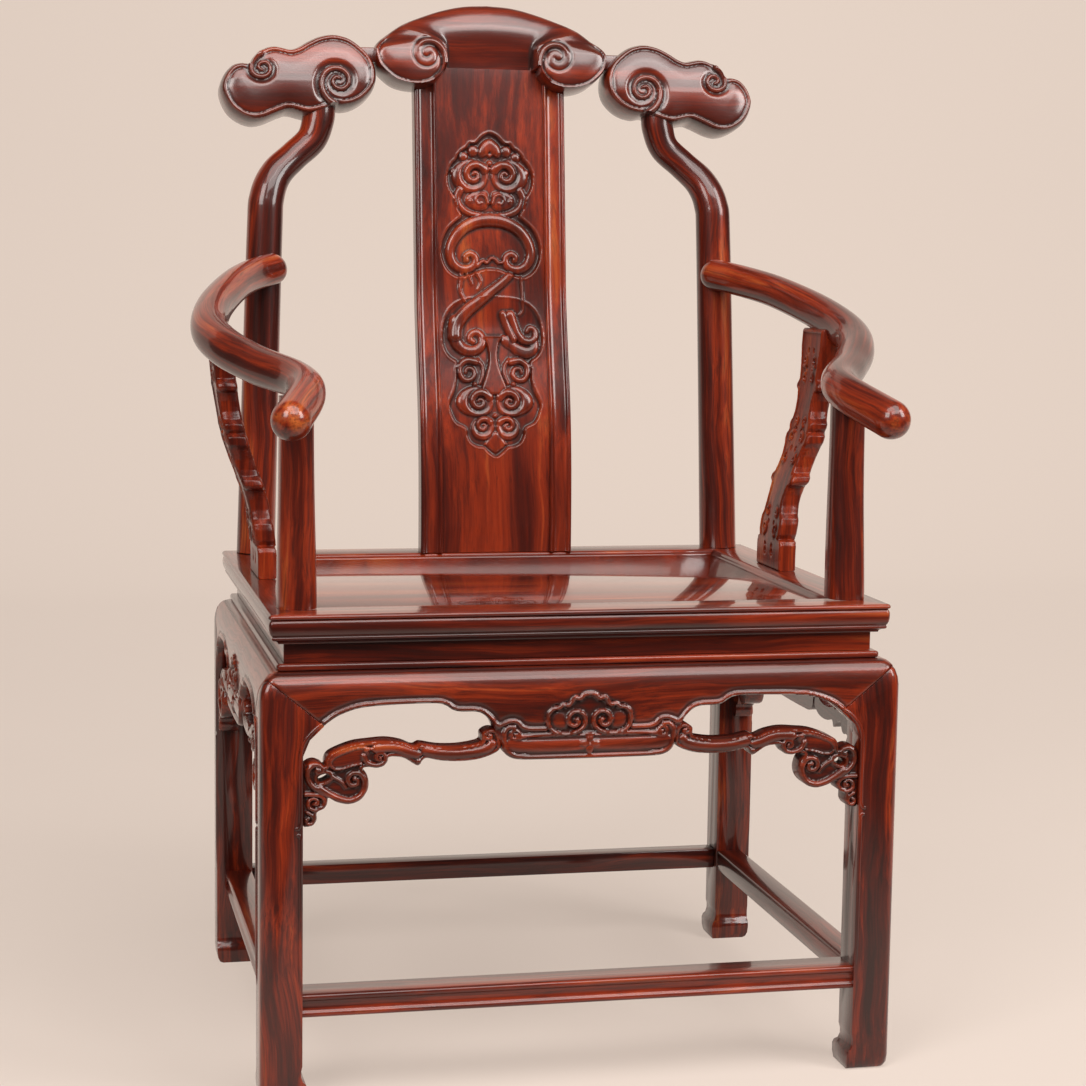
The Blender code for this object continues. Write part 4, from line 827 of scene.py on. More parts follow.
def mitred_rails(name, section, inset_by, corner, woods, place_name, sharp):
    """Four mouldings with one section, mitred round the seat; the outer corners are rounded."""
    for number, side in enumerate(("front", "right", "back", "left")):
        place = on_side(90 * number)
        half, reach = seat_half_x - inset_by, seat_half_y - inset_by
        if number % 2:
            half, reach = reach, half
        rings = []
        for station in range(-straight_steps - corner_steps, straight_steps + corner_steps + 1):
            bent = math.radians(max(0, abs(station) - straight_steps) * 45 / corner_steps)
            along = math.copysign(min(abs(station) / straight_steps, 1), station) if station else 0.0
            ring = []
            for deep, height in section:
                round_left, middle = max(corner - deep, 0.0), max(corner, deep)
                ring.append(place(along * (half - middle + round_left * math.sin(bent)),
                                  reach - middle + round_left * math.cos(bent), height))
            rings.append(ring)
        finished(lofted(name + "_" + side + "_moulded", rings, sharp), woods[number % 2], place_name,
                 name + "_" + side)


seat_front_wood = rosewood("seat_rosewood", "X", 5.9, 0.004, calm=-0.15, gloss=0.07)
seat_side_wood = rosewood("seat_side_rosewood", "Y", 2.7, 0.004, calm=-0.15, gloss=0.07)
panel_wood = rosewood("seat_panel_rosewood", "X", 8.3, 0.03, True)
mitred_rails("seat_rail", rail_section, 0.0, 5.0, (seat_front_wood, seat_side_wood), "seat_wood", 60)
mitred_rails("waist", waist_section, 17.0, 1.5, (cross_wood, depth_wood), "apron_wood", 40)
mitred_rails("bead", bead_section, 9.0, 5.0, (cross_wood, depth_wood), "apron_wood", 60)
refined(["seat_panel"], panel_wood, "seat_wood", 0.0008)
refined(["seat_batten_left", "seat_batten_right"], depth_wood, "seat_wood", 0.0008)

# Two back posts with goose necks that carry the crest, and two short front posts under the
# arms. The back posts are round; the front ones are softly squared and bend a little.
post_foot, post_tall, post_thick = (0.291, 0.246, 0.505), 0.539, 0.0230
post_drawn, post_leaning = 0.080, 0.039
post_shares = ((0.0, 0.0, 0.0, 1.0), (0.07, 0.13, 0.36, 0.96), (0.145, 0.27, 0.715, 0.93),
               (0.184, 0.35, 0.792, 0.91), (0.33, 0.54, 0.843, 0.84), (0.60, 0.75, 0.883, 0.78),
               (0.88, 0.90, 0.922, 0.80), (0.985, 0.96, 0.966, 0.85), (1.0, 1.0, 1.0, 0.87))
front_post_foot, front_post_tall, front_post_thick = (0.2955, -0.2150, 0.5053), 0.216, 0.0192
front_post_leaning = 0.005
front_post_shares = ((0.0, 0.0, 1.06), (0.06, 0.0, 1.06), (0.25, 0.45, 1.03), (0.50, 0.85, 0.97),
                     (0.75, 0.95, 0.93), (1.0, 1.0, 0.92))


def bar(name, stations, square=2.0, ridge=0.0, columns=48, hint=(0, 1, 0)):
    """A bar through stations (x, y, z, radius), round or softly squared, with an optional ridge."""
    stations = np.array(stations)
    angles = np.arange(columns) * 2 * math.pi / columns
    cosines, sines = np.cos(angles)[:, None], np.sin(angles)[:, None]
    shape = (np.abs(cosines) ** square + np.abs(sines) ** square) ** (-1 / square)
    shape *= 1 + ridge * np.clip(sines, 0, 1) ** 8
    ahead = np.gradient(stations[:, :3], axis=0)
    steps = np.linalg.norm(np.diff(stations[:, :3], axis=0), axis=1)
    rings, grain = [], []
    for (x, y, z, radius), way, far in zip(stations, ahead, np.concatenate(([0], np.cumsum(steps)))):
        side = np.cross(way, hint)
        side /= np.linalg.norm(side)
        lift = np.cross(side, way / np.linalg.norm(way))
        rings.append(np.array((x, y + seat_middle, z)) + radius * shape * (cosines * side + sines * lift))
        grain.append(np.hstack((radius * cosines + stations[0, 0], np.full((columns, 1), far),
                                radius * sines)))
    return lofted(name, rings, 60, np.array(grain))


post_wood = rosewood("post_rosewood", "Y", 1.3, 0.004, swirl=0.030, calm=-0.30, follow=True)
for side, hand in (("left", -1), ("right", 1)):
    x, y, z = post_foot
    line = smooth_line([(hand * (x - post_drawn * drawn), y + post_leaning * back, z + post_tall * up,
                         post_thick * thick) for drawn, back, up, thick in post_shares], 9)
    finished(bar("back_post_" + side + "_turned", line), post_wood, "post_wood", "back_post_" + side)
    x, y, z = front_post_foot
    line = smooth_line([(hand * x, y + front_post_leaning * back, z + front_post_tall * up,
                         front_post_thick * thick) for up, back, thick in front_post_shares], 6)
    finished(bar("arm_post_" + side + "_shaped", line, 2.7), post_wood, "post_wood", "arm_post_" + side)

# The splat: two moulded stiles and a panel between them, bent in one long S-curve. On the panel
# a ruyi head, a ring, ribbons and a cluster of cloud scrolls are carved in sunk relief.
splat_cell, panel_half, panel_low, panel_high, panel_back = 1.05, 66.6, 505.4, 1101.0, 12.0
panel_sunk = 4.0
stile_high, stile_rows = 1081.0, 90
splat_foot, splat_reach, splat_head = (0.2135, 0.5053), (0.07736, 0.5619), (0.0062, 0.040)
splat_shares = ((0.0, 0.0), (0.012, 0.09), (0.063, 0.202), (0.185, 0.317), (0.40, 0.431), (0.595, 0.546),
                (0.70, 0.665), (0.845, 0.834), (1.0, 1.0))
splat_path = [(splat_foot[0] + splat_reach[0] * back, splat_foot[1] + splat_reach[1] * up)
              for back, up in splat_shares]
splat_path.append((splat_path[-1][0] + splat_head[0], splat_path[-1][1] + splat_head[1]))
splat_curve = smooth_line(splat_path, 8)
ruyi_pocket = ((0.0, 1016.5), (9.0, 1013.0), (15.5, 1006.5), (19.0, 1004.0), (25.5, 1003.5),
               (29.5, 998.5), (35.0, 995.0), (40.5, 989.5), (43.0, 984.0), (49.0, 977.5), (53.5, 967.0),
               (54.2, 956.0), (51.5, 946.0), (46.0, 937.0), (44.0, 929.0), (41.5, 921.5), (37.5, 914.5),
               (44.0, 908.5), (54.0, 899.0), (60.5, 886.0), (63.0, 874.0), (62.0, 862.0), (57.0, 850.0),
               (49.0, 842.0), (38.0, 838.3), (22.0, 843.0), (8.0, 848.0))
cloud_pocket = ((0.0, 621.0), (10.0, 627.0), (15.5, 632.5), (23.5, 633.8), (32.0, 639.0), (36.5, 648.0),
                (38.0, 656.5), (50.5, 664.0), (57.5, 680.0), (57.0, 690.0), (51.0, 703.0), (48.0, 715.0),
                (48.0, 727.0), (47.0, 737.0), (55.0, 743.0), (61.0, 752.0), (63.5, 765.0), (61.5, 783.0),
                (56.0, 797.0), (48.0, 806.0), (36.0, 812.0), (16.0, 815.0))
paired_beads = (
    (((-4.0, 909.7), (0.0, 910.0), (14.0, 908.5), (28.0, 903.0), (40.0, 893.5), (48.5, 880.0),
      (50.5, 868.0), (46.5, 856.5), (37.0, 850.0), (26.5, 850.5), (19.5, 856.5), (19.5, 864.5),
      (25.5, 868.5), (31.0, 865.5), (30.4, 861.0)), 8.6, 6.6, 0.42),
    (((37.5, 946.0), (41.0, 938.0), (39.5, 929.0), (33.0, 921.5), (22.0, 916.5),
      (12.0, 915.5)), 5.2, 4.4, 0.7),
    (((3.0, 930.0), (6.0, 938.5), (13.0, 940.5), (17.5, 935.0), (15.0, 929.5),
      (10.5, 930.5)), 2.6, 4.6, 0.7),
    (((22.0, 738.0), (33.0, 739.5), (41.5, 733.5), (42.0, 723.5), (36.5, 716.5), (28.5, 717.0),
      (24.0, 723.0), (26.5, 729.5), (33.0, 730.0), (35.0, 725.5)), 4.6, 5.0, 0.5),
    (((19.5, 741.0), (14.0, 733.0), (13.5, 723.0), (17.5, 712.5)), 2.6, 2.6, 0.8))
carving_low, carving_high = 612, 1025
pocket_deep, pocket_wall, pocket_lip, pocket_lip_wide = 4.6, 3.0, 0.5, 1.6
pocket_end, pocket_fade, pocket_again = 818.0, 40.0, 830
scroll_start, scroll_heart, scroll_tip, scroll_rise, scroll_clear = 150, 1.6, 0.42, 0.16, 1.2
paired_scrolls = (((19.6, 964.5), 1.30, 14.6, 6.6, 7.4), ((19.0, 689.5), 1.30, 13.4, 6.2, 7.4),
                  ((15.4, 660.0), 1.15, 9.8, 4.8, 6.2))
head_drop, head_drop_deep, head_drop_radius = (0.0, 991.5), 3.4, 2.0
paired_swells = (
    (((2.0, 964.0), (5.0, 974.0), (12.0, 981.0), (22.0, 984.0), (34.0, 981.5), (44.0, 974.0),
      (48.0, 963.0), (44.0, 951.5), (33.0, 944.0), (20.0, 943.0), (9.0, 948.0), (3.5, 956.0)), 4.6, 12.0),
    (((1.5, 690.0), (5.0, 700.0), (14.0, 706.5), (26.0, 709.0), (38.0, 705.0), (46.5, 696.0),
      (47.5, 686.0), (41.0, 677.0), (28.0, 671.5), (14.0, 672.0), (5.0, 678.0)), 4.8, 12.0),
    (((1.5, 660.0), (4.0, 668.0), (12.0, 671.5), (22.0, 670.0), (29.0, 662.0), (29.5, 652.0),
      (24.0, 644.5), (14.0, 642.0), (6.0, 646.0), (2.5, 653.0)), 4.0, 8.0),
    (((0.0, 1009.5), (7.5, 1006.0), (13.5, 999.0), (15.5, 991.0), (10.5, 985.5), (4.0, 988.0),
      (0.0, 985.5), (-4.0, 988.0), (-10.5, 985.5), (-15.5, 991.0), (-13.5, 999.0),
      (-7.5, 1006.0)), 5.0, 7.0),
    (((4.0, 944.0), (16.0, 945.0), (28.0, 940.0), (31.0, 931.0), (24.0, 924.0), (12.0, 921.0),
      (3.0, 925.0), (1.5, 935.0)), 2.4, 5.0),
    (((0.0, 653.0), (8.0, 646.0), (13.0, 638.0), (7.0, 631.5), (0.0, 627.0), (-7.0, 631.5),
      (-13.0, 638.0), (-8.0, 646.0)), 2.2, 4.0))
paired_knobs = (((20.5, 994.0), 7.0, 3.8), ((32.5, 986.5), 6.2, 3.4), ((0.0, 979.0), 3.9, 3.8),
                ((0.0, 972.5), 2.4, 3.0), ((44.5, 968.0), 5.0, 2.6), ((0.0, 672.5), 3.2, 3.6),
                ((25.5, 932.5), 4.2, 4.2), ((13.0, 637.5), 1.6, 3.4), ((24.0, 711.0), 3.2, 4.2))
single_beads = (
    (((24.0, 843.0), (13.0, 833.0), (-2.0, 821.3), (-15.5, 811.0), (-29.5, 800.5), (-40.0, 789.8),
      (-45.5, 778.0), (-46.5, 769.0)), 4.8, 4.4, 1.95),
    (((-44.5, 786.0), (-47.0, 775.0), (-46.0, 765.0), (-41.5, 757.0), (-32.0, 751.5), (-21.0, 752.5),
      (-13.5, 759.5), (-13.5, 768.5), (-19.0, 773.5), (-26.0, 771.5), (-28.0, 765.5),
      (-24.0, 762.5)), 9.4, 6.6, 0.36),
    (((-36.0, 846.0), (-38.0, 835.0), (-39.0, 822.0), (-34.0, 811.0)), 3.4, 2.4, 0.6),
    (((-31.0, 846.0), (-27.0, 838.0), (-25.0, 831.0)), 2.4, 2.4, 0.6),
    (((-19.0, 845.0), (-14.5, 838.0), (-13.5, 832.0), (-17.0, 825.0)), 2.6, 2.2, 0.6),
    (((37.0, 840.0), (38.0, 826.0), (38.5, 812.0), (39.0, 800.0), (35.5, 795.0)), 2.4, 2.4, 0.8),
    (((13.7, 795.0), (19.3, 780.0), (26.0, 765.5)), 4.8, 5.4, 1.1),
    (((22.5, 793.0), (27.0, 782.5), (31.5, 772.0), (38.5, 764.5), (47.5, 763.0), (54.0, 768.5),
      (53.5, 776.5), (47.5, 779.5), (44.0, 775.5)), 7.4, 6.6, 0.42),
    (((-17.0, 853.0), (-10.0, 859.5), (-4.5, 857.5), (0.0, 863.0), (5.5, 862.0), (10.5, 857.5),
      (17.0, 859.0)),
     2.2, 3.4, 0.9),
    (((-10.5, 767.8), (10.5, 767.8)), 1.5, 5.4, 1.0))
single_swells = (
    (((13.0, 771.0), (24.0, 768.0), (30.0, 762.0), (44.0, 757.0), (56.0, 765.0), (58.0, 755.0),
      (52.0, 746.0), (43.0, 742.0), (32.0, 744.0), (22.0, 752.0), (14.0, 758.0),
      (10.5, 764.0)), 3.4, 6.0),
    (((-11.0, 769.0), (-8.0, 760.0), (-5.6, 748.0), (-6.4, 736.0), (-10.5, 722.0), (-15.5, 708.0),
      (-14.0, 700.0), (0.0, 698.0), (14.0, 700.0), (15.5, 708.0), (10.5, 722.0), (6.4, 736.0),
      (5.6, 748.0), (8.0, 760.0), (11.0, 769.0)), 4.4, 2.6))
stile_section = ((66.9, -20.0), (66.9, -4.0), (66.9, -1.4), (67.6, 0.0), (69.4, 0.9), (71.2, 0.0),
                 (71.9, -1.5), (73.0, -2.2), (77.0, -2.6), (80.3, -2.7), (84.0, -2.6), (87.0, -2.2),
                 (88.2, -1.3), (89.2, 0.2), (91.2, 0.9), (93.1, 0.0), (93.7, -1.6), (93.8, -4.0),
                 (93.8, -20.0))


def ease(share):
    """A share that starts and ends gently."""
    share = np.clip(share, 0, 1)
    return share * share * (3 - 2 * share)


def away(places, centre):
    """Distance of each place to a point."""
    return np.hypot(*(places - np.array(centre)).T)


def curl(centre, start, turns, first, last):
    """Points of a spiral that winds in clockwise to its centre, first and last being its radii."""
    shares = np.linspace(0, 1, max(8, int(turns * 10)) + 1)
    angles = math.radians(start) - turns * shares * 2 * math.pi
    reach = first + (last - first) * shares ** 0.8
    return np.array(centre) + np.column_stack((reach * np.cos(angles), reach * np.sin(angles)))


def panel_face(places, depth):
    busy = (places[:, 1] > carving_low) & (places[:, 1] < carving_high)
    spot = places[busy]
    side = folded(spot)
    ground = np.zeros(len(spot))
    for half in (ruyi_pocket, cloud_pocket):
        line = closed_pair(half)
        gap, inside = nearest(spot, line, closed=True)[0], within(spot, line)
        open_top = ease((pocket_end - spot[:, 1]) / pocket_fade) + (spot[:, 1] > pocket_again)
        ground = np.where(inside, -pocket_deep * ease(gap / pocket_wall) * open_top,
                          ground + pocket_lip * bell(gap, pocket_lip_wide))
    raised = np.maximum(relief(side, paired_beads, paired_swells, paired_knobs),
                        relief(spot, single_beads, single_swells))
    for centre, turns, first, radius, height in paired_scrolls:
        disc = bell(away(side, centre), first + 0.35 * radius, 8)
        raised -= np.maximum(raised - scroll_clear, 0) * disc
        line = curl(centre, scroll_start, turns, first, scroll_heart)
        raised = np.maximum(raised, bead(side, line, radius, height, scroll_tip, scroll_rise))
    out = np.zeros(len(places))
    out[busy] = ground + raised - head_drop_deep * bell(away(spot, head_drop), head_drop_radius)
    return out


def along_splat(height, step=0.006):
    """The splat's face at a height and the upward direction of its path there."""
    heights = height - step, height, height + step
    below, here, above = np.interp(heights, splat_curve[:, 1], splat_curve[:, 0])
    return here, Vector((above - below, 2 * step)).normalized()


def splat_place(x, out, z, face=panel_sunk):
    """Millimetres across, out of the face and up, to metres on the bent splat."""
    y, (back, up) = along_splat(z * mm)
    far = (out - face) * mm
    return Vector((x * mm, y - up * far + seat_middle, z * mm + back * far))


def stile(side, hand):
    """A stile with a bead along each edge and a shallow hollow between."""
    rings = [[splat_place(hand * x, out, height, 0.0) for x, out in stile_section]
             for height in np.linspace(panel_low, stile_high, stile_rows)]
    finished(lofted("splat_stile_" + side + "_moulded", rings), splat_wood, "splat_wood",
             "splat_stile_" + side)


splat_wood = rosewood("splat_rosewood", "Z", 4.2, -0.006, swirl=0.030, calm=0.15)
panel_line = np.array([(-panel_half, panel_low), (panel_half, panel_low), (panel_half, panel_high),
                       (-panel_half, panel_high)])
finished(carved_board("splat_panel_carved", [panel_line], splat_cell, panel_face, panel_back,
                      splat_place), splat_wood, "splat_wood", "splat_panel")
stile("left", -1)
stile("right", 1)

# The crest: a thick middle board and two clouds, raked back on the tops of the posts. Their
# edges are heavily rounded, and a raised rim runs round each lobe and curls into a scroll.
# Between its two scrolls the middle board falls away in a hollow into the face of the splat.
crest_cell, crest_thick, crest_belly, crest_sunk = 1.15, 50.0, 2.4, 1.5
crest_rake, crest_pivot = math.radians(8.8), Vector((0, 0.262, 1.030))
crest_top = ((0.0, 1176.8), (30.0, 1174.8), (58.8, 1168.3), (84.0, 1158.6), (109.4, 1146.4),
             (133.5, 1129.0), (142.7, 1118.7), (144.9, 1109.5), (142.7, 1098.2), (137.5, 1088.9),
             (122.7, 1076.2), (108.0, 1070.8), (91.3, 1069.4), (75.9, 1073.0), (65.1, 1080.9),
             (59.4, 1089.0))
crest_notch = (58.7, 1095.1)
crest_volute = ((68.0, 1079.0), (62.6, 1084.0), (59.2, 1091.0), (58.0, 1100.0), (60.0, 1110.5),
                (65.5, 1118.5), (74.0, 1123.0), (84.0, 1122.6), (91.3, 1116.4), (93.0, 1107.6),
                (88.6, 1099.8), (80.8, 1097.6), (74.4, 1101.4), (73.0, 1108.0), (77.4, 1112.2),
                (82.2, 1109.6))
crest_lobe = ((64.0, 1104.0), (66.0, 1088.0), (78.0, 1077.5), (94.0, 1073.5), (112.0, 1076.5),
              (126.0, 1084.0), (137.0, 1096.0), (140.0, 1108.0), (134.0, 1120.0), (118.0, 1128.0),
              (98.0, 1131.0), (78.0, 1127.0))
crown_from, crown_over, edge_fall, crown_fall, edge_soft, crown_soft = 1106.0, 26.0, 3.0, 17.0, 8.0, 38.0
lobe_rise, lobe_soft, lobe_middle, lobe_bump, lobe_bump_wide = 3.4, 16.0, (112.0, 1099.0), 2.0, 18.0
lobe_end, lobe_fade, lobe_inside = 1112.0, 22.0, 57
rim_rise, rim_in, rim_wide, rim_end, rim_fade = 3.4, 2.4, 3.2, 1134.0, 10.0
volute_ditch, volute_ditch_out, volute_ditch_wide, volute_inside = 1.3, 5.6, 1.8, 52
hollow_half, hollow_deep, hollow_rise, hollow_from, hollow_over = 52.5, 25.9, 11.0, 1088.0, 62.0
blend_low, blend_more, blend_from, blend_over = 4.0, 66.0, 1118.0, 32.0
cloud_outline = ((330.9, 1059.5), (329.4, 1069.6), (324.3, 1080.5), (315.2, 1089.7), (304.0, 1092.8),
                 (296.0, 1091.0), (292.0, 1097.4), (283.6, 1106.5), (274.2, 1112.2), (263.8, 1113.9),
                 (253.4, 1112.2), (245.4, 1110.8), (236.4, 1113.9), (226.3, 1120.1), (211.8, 1127.1),
                 (196.1, 1130.4), (182.5, 1128.9), (169.6, 1123.7), (153.1, 1110.0), (144.6, 1096.8),
                 (141.8, 1082.2), (143.7, 1069.6), (149.0, 1059.7), (158.8, 1050.1), (169.2, 1044.4),
                 (176.8, 1042.2), (184.5, 1041.3), (196.3, 1042.7), (202.3, 1038.2), (211.0, 1034.3),
                 (219.9, 1032.1), (229.0, 1031.4), (248.1, 1035.5), (257.2, 1033.3), (267.0, 1029.1),
                 (278.0, 1024.3), (289.7, 1021.9), (300.6, 1023.4), (311.4, 1028.5), (320.5, 1036.0),
                 (327.1, 1046.9))
cloud_scrolls = (
    (((194.6, 1044.0), (202.6, 1049.6), (208.8, 1059.4), (210.0, 1070.6), (205.6, 1080.8),
      (196.0, 1086.4), (185.0, 1085.0), (177.8, 1077.4), (178.2, 1067.8), (185.0, 1062.2),
      (193.0, 1063.8), (196.8, 1070.0), (193.6, 1075.6), (188.6, 1075.0)), 4.3, 5.6, 0.5),
    (((283.0, 1101.5), (290.0, 1096.0), (294.0, 1087.6), (292.6, 1078.0), (283.6, 1073.6),
      (274.4, 1076.4), (271.4, 1084.4), (276.0, 1090.8), (283.2, 1089.8), (285.4, 1084.4),
      (281.2, 1081.6)), 3.4, 5.0, 0.55))
cloud_lean, cloud_lean_from, cloud_fall, cloud_soft = 0.075, 1070.0, 3.0, 7.0
lip_rise, lip_in, lip_wide, pillow_rise, pillow_in, pillow_soft = 3.2, 3.0, 2.9, 5.2, 5.6, 25.0
scroll_clearing, scroll_ground, scroll_sunk = 2.1, 0.6, 0.4


def inset(line, distance):
    """A closed line moved inward by a distance."""
    moved = line - outward(line) * distance
    return moved[nearest(moved, line, closed=True)[0] > 0.93 * distance]


def crest_place(x, out, z):
    """Millimetres across, out of the face and up, to metres on the raked plane of the crest."""
    local = Vector((x * mm, -out * mm, (z * mm - crest_pivot.z) / math.cos(crest_rake)))
    turned = Matrix.Rotation(-crest_rake, 3, "X") @ local
    return turned + crest_pivot + Vector((0, seat_middle, 0))


def crest_face(places, depth):
    flat = folded(places)
    edge_gap = nearest(flat, smooth_line(crest_top))[0]
    high = ease((flat[:, 1] - crown_from) / crown_over)
    fallen = 1 - cushion_share(edge_gap, edge_soft + crown_soft * high, 0.015)
    out = -(edge_fall + crown_fall * high) * fallen - crest_sunk
    lobe = swell(flat, crest_lobe, lobe_rise, lobe_soft)
    lobe += lobe_bump * bell(away(flat, lobe_middle), lobe_bump_wide)
    lobe *= 1 - ease((flat[:, 1] - lobe_end) / lobe_fade)
    rim = rim_rise * round_share(edge_gap - rim_in, rim_wide) * ease((rim_end - flat[:, 1]) / rim_fade)
    rim *= flat[:, 0] > lobe_inside
    raised = np.maximum(np.maximum(lobe, rim), bead(flat, crest_volute, 4.6, 6.0, 0.5))
    volute_gap = nearest(flat, smooth_line(crest_volute))[0]
    ditch = bell(volute_gap - volute_ditch_out, volute_ditch_wide)
    out -= volute_ditch * ditch * (flat[:, 0] > volute_inside)
    blend = blend_low + blend_more * ease((flat[:, 1] - blend_from) / blend_over)
    hollow = ease((hollow_half + blend - flat[:, 0]) / blend)
    recess = hollow_deep - hollow_rise * ease((flat[:, 1] - hollow_from) / hollow_over)
    return out + raised * (1 - hollow) - recess * hollow


def cloud_face(places, depth):
    flat = folded(places)
    out = -crest_sunk - cloud_fall * (1 - cushion_share(depth, cloud_soft, 0.02))
    out -= cloud_lean * np.clip(flat[:, 1] - cloud_lean_from, 0, None)
    out += lip_rise * round_share(depth - lip_in, lip_wide)
    out += pillow_rise * cushion_share(depth - pillow_in, pillow_soft)
    for line, radius, height, tip in cloud_scrolls:
        scroll = bead(flat, line, radius, height, tip)
        near = bell(nearest(flat, smooth_line(line))[0], radius * scroll_clearing, 4)
        out = out * (1 - near) - scroll_ground * near
        out = np.where(scroll > 0, np.maximum(out, scroll - scroll_sunk), out)
    return out


crest_wood = rosewood("crest_rosewood", "X", 2.2, -0.032, calm=0.35, gloss=0.20)
crest_half = [*map(tuple, smooth_line(crest_top)), crest_notch]
crest_line = inset(np.array(crest_half + [(-x, z) for x, z in reversed(crest_half[1:])]), crest_belly)
cloud_line = inset(smooth_line(cloud_outline, closed=True), crest_belly)
for name, node, line, face in (
        ("crest_centre_carved", "crest_centre", crest_line, crest_face),
        ("crest_cloud_left_carved", "crest_cloud_left", cloud_line * (-1, 1), cloud_face),
        ("crest_cloud_right_carved", "crest_cloud_right", cloud_line, cloud_face)):
    finished(carved_board(name, [line], crest_cell, face, crest_thick, crest_place, crest_belly),
             crest_wood, "crest_wood", node)
refined(["crest_tenon_left", "crest_tenon_right"], crest_wood, "crest_wood", 0.001)

# The arms: S-bent round bars with domed ends and a soft ridge along the top, scribed to the back
# posts. A flat bent strut under each is carved on both faces with scrolls and drop holes.
arm_heel, arm_bowed, arm_long = (0.27407, 0.22581), 0.0923, 0.5256
arm_low, arm_dropped, arm_thick = 0.7025, 0.1432, 0.0208
arm_shares = ((0.0, 0.0, 1.0, 0.87), (0.2937, 0.059, 0.946, 0.89), (0.5873, 0.1658, 0.859, 0.91),
              (0.8889, 0.3164, 0.7, 0.97), (1.0, 0.4517, 0.549, 1.0), (0.869, 0.5575, 0.43, 1.0),
              (0.5635, 0.6643, 0.318, 0.96), (0.2063, 0.7813, 0.235, 0.92), (0.1508, 0.8728, 0.155, 0.94),
              (0.4008, 1.0, 0.0, 0.97))
strut_x, strut_y, strut_z, strut_tall = 302.5, 44.8, 505.3, 280.8
strut_leans, strut_thick, strut_wide, strut_round = 52.0, 20.5, 43.0, 1.4
strut_cell, strut_foot = 1.3, 0.125
strut_thread, strut_thread_in, strut_ground, strut_ground_in, strut_ground_soft = 1.5, 3.4, 0.8, 5.0, 2.0
strut_ditch, strut_ditch_in, strut_ditch_wide, strut_hole_deep = 1.8, 6.3, 1.1, 5.0
strut_path = ((0.0, 0.0), (0.01, 0.107), (0.07, 0.196), (0.15, 0.285), (0.31, 0.381), (0.51, 0.48),
              (0.67, 0.58), (0.79, 0.694), (0.88, 0.819), (0.95, 1.0))
strut_edge = ((1.0, 0.0), (1.0, 0.06), (1.0, 0.105), (0.95, 0.122), (0.80, 0.13), (0.87, 0.15),
              (0.88, 0.19), (0.84, 0.215), (0.72, 0.235), (0.66, 0.27), (0.655, 0.31), (0.70, 0.345),
              (0.86, 0.357), (0.91, 0.37), (0.88, 0.39), (0.74, 0.405), (0.71, 0.43), (0.72, 0.47),
              (0.80, 0.51), (0.90, 0.53), (0.90, 0.56), (0.78, 0.575), (0.84, 0.59), (0.84, 0.61),
              (0.70, 0.63), (0.64, 0.66), (0.65, 0.70), (0.72, 0.735), (0.85, 0.745), (0.88, 0.758),
              (0.85, 0.772), (0.72, 0.79), (0.73, 0.83), (0.78, 0.88), (0.84, 0.93), (0.84, 1.0))
strut_scrolls = ((16.0, 0.865, -60, 1.2, 7.0, 2.6), (12.0, 0.79, 90, 1.1, 6.0, 2.4),
                 (17.0, 0.545, 120, 1.2, 7.2, 2.6), (13.5, 0.615, -100, 1.1, 6.0, 2.4),
                 (15.0, 0.455, 60, 1.1, 6.4, 2.4), (19.0, 0.165, -90, 1.2, 7.6, 2.8),
                 (15.0, 0.23, 100, 1.1, 6.2, 2.4))
strut_holes = ((16.0, 0.865, 2.8), (12.0, 0.79, 2.4), (9.0, 0.91, 2.6), (9.5, 0.835, 2.2),
               (17.0, 0.545, 2.8), (13.5, 0.615, 2.4), (9.0, 0.575, 2.2), (15.0, 0.455, 2.6),
               (8.0, 0.50, 2.4), (19.0, 0.165, 3.0), (15.0, 0.23, 2.4), (10.0, 0.19, 2.2),
               (12.0, 0.065, 3.4), (12.0, 0.09, 2.8))


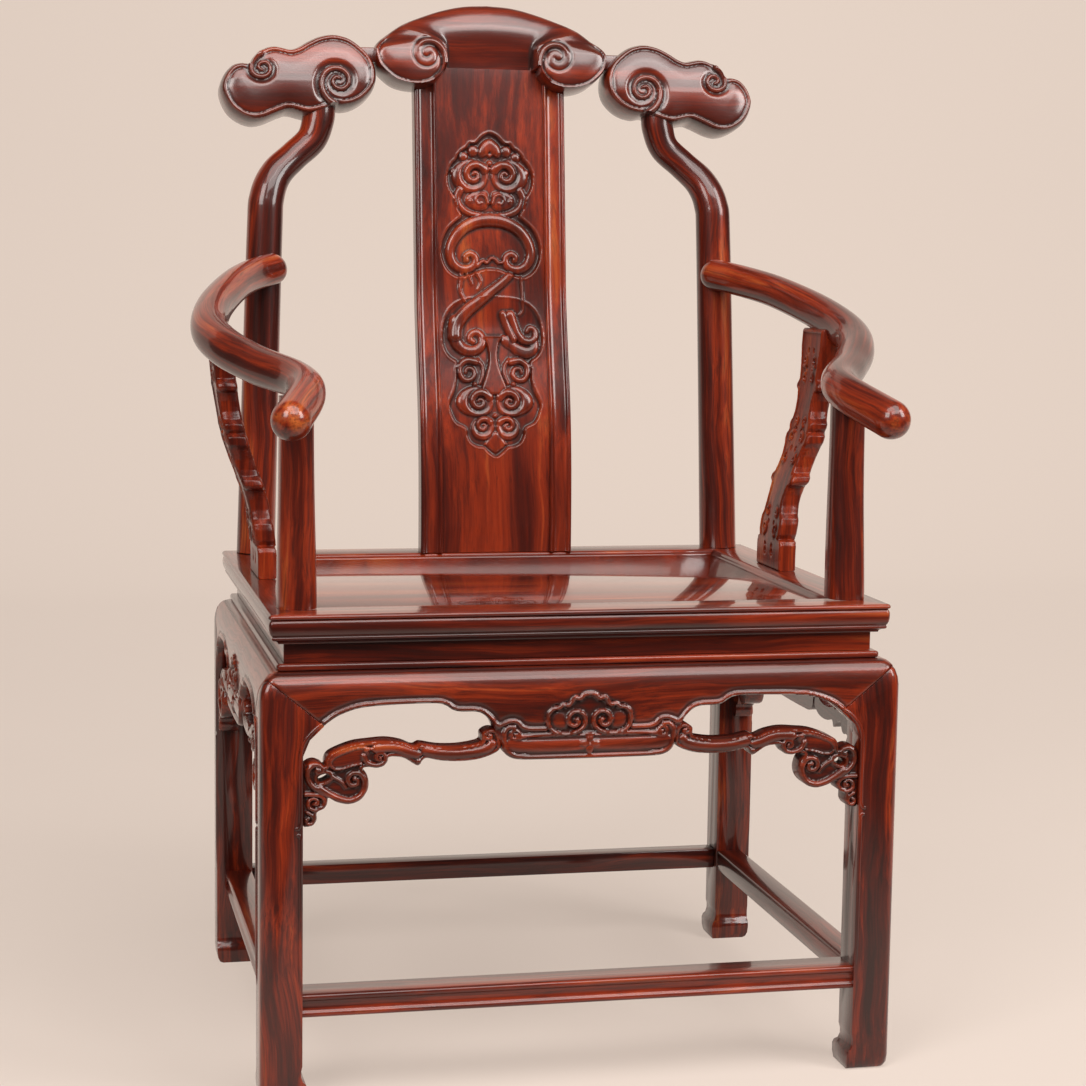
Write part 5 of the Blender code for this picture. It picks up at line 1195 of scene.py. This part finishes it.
def strut_face(places, depth):
    flat, body = folded(places), places[:, 1] > strut_foot * strut_tall
    out = strut_thread * round_share(depth - strut_thread_in, strut_thread)
    out -= strut_ground * ease((depth - strut_ground_in) / strut_ground_soft)
    out -= strut_ditch * bell(depth - strut_ditch_in, strut_ditch_wide)
    out *= body
    for x, up, start, turns, first, radius in strut_scrolls:
        line = curl((x, up * strut_tall), start, turns, first, 1.8)
        out = np.maximum(out, bead(flat, line, radius, 2.2, 0.6))
    for x, up, radius in strut_holes:
        out -= strut_hole_deep * bell(away(flat, (x, up * strut_tall)), radius, 4)
    return out - rounded(depth, strut_round)


def arm(side, hand):
    """A bent round bar closed by a dome at each end."""
    line = smooth_line([(hand * (arm_heel[0] + arm_bowed * out), arm_heel[1] - arm_long * ahead,
                         arm_low + arm_dropped * up, arm_thick * thick)
                        for out, ahead, up, thick in arm_shares], 12)
    for _ in range(2):
        tip, radius = line[-1][:3], line[-1][3]
        way = tip - line[-2][:3]
        way /= np.linalg.norm(way)
        dome = [(*(tip + way * radius * math.sin(bent)), radius * max(math.cos(bent), 0.02))
                for bent in np.radians(np.arange(9, 91, 9))]
        line = np.vstack((line, dome))[::-1]
    finished(bar("arm_" + side + "_shaped", line, 2.1, 0.06, 56, (0, 0, 1)), arm_wood, "arm_wood",
             "arm_" + side)


def strut(side, hand, face, facing):
    """One of the two carved faces of a strut, with half of its thickness."""
    def place(x, out, z):
        lean = strut_leans * np.interp(z / strut_tall, strut_curve[:, 1], strut_curve[:, 0])
        far = strut_x + lean + facing * (strut_thick / 2 + out)
        return Vector((hand * far * mm, (strut_y + x) * mm + seat_middle, (strut_z + z) * mm))

    mesh = carved_board("arm_strut_" + side + "_" + face, [strut_line], strut_cell, strut_face,
                        strut_thick / 2, place)
    finished(mesh, strut_wood, "splat_wood", "arm_strut_" + side)


arm_wood = rosewood("arm_rosewood", "Y", 7.5, -0.005, swirl=0.026, calm=-0.20, gloss=0.07, follow=True)
strut_wood = rosewood("strut_rosewood", "Z", 3.3, 0.022, coat=0.15)
strut_curve = smooth_line(strut_path)
half_edge = [(strut_wide * out, strut_tall * up) for out, up in strut_edge]
strut_line = np.array(half_edge + [(-x, z) for x, z in reversed(half_edge)])
for side, hand in (("left", -1), ("right", 1)):
    arm(side, hand)
    strut(side, hand, "outer", 1)
    strut(side, hand, "inner", -1)
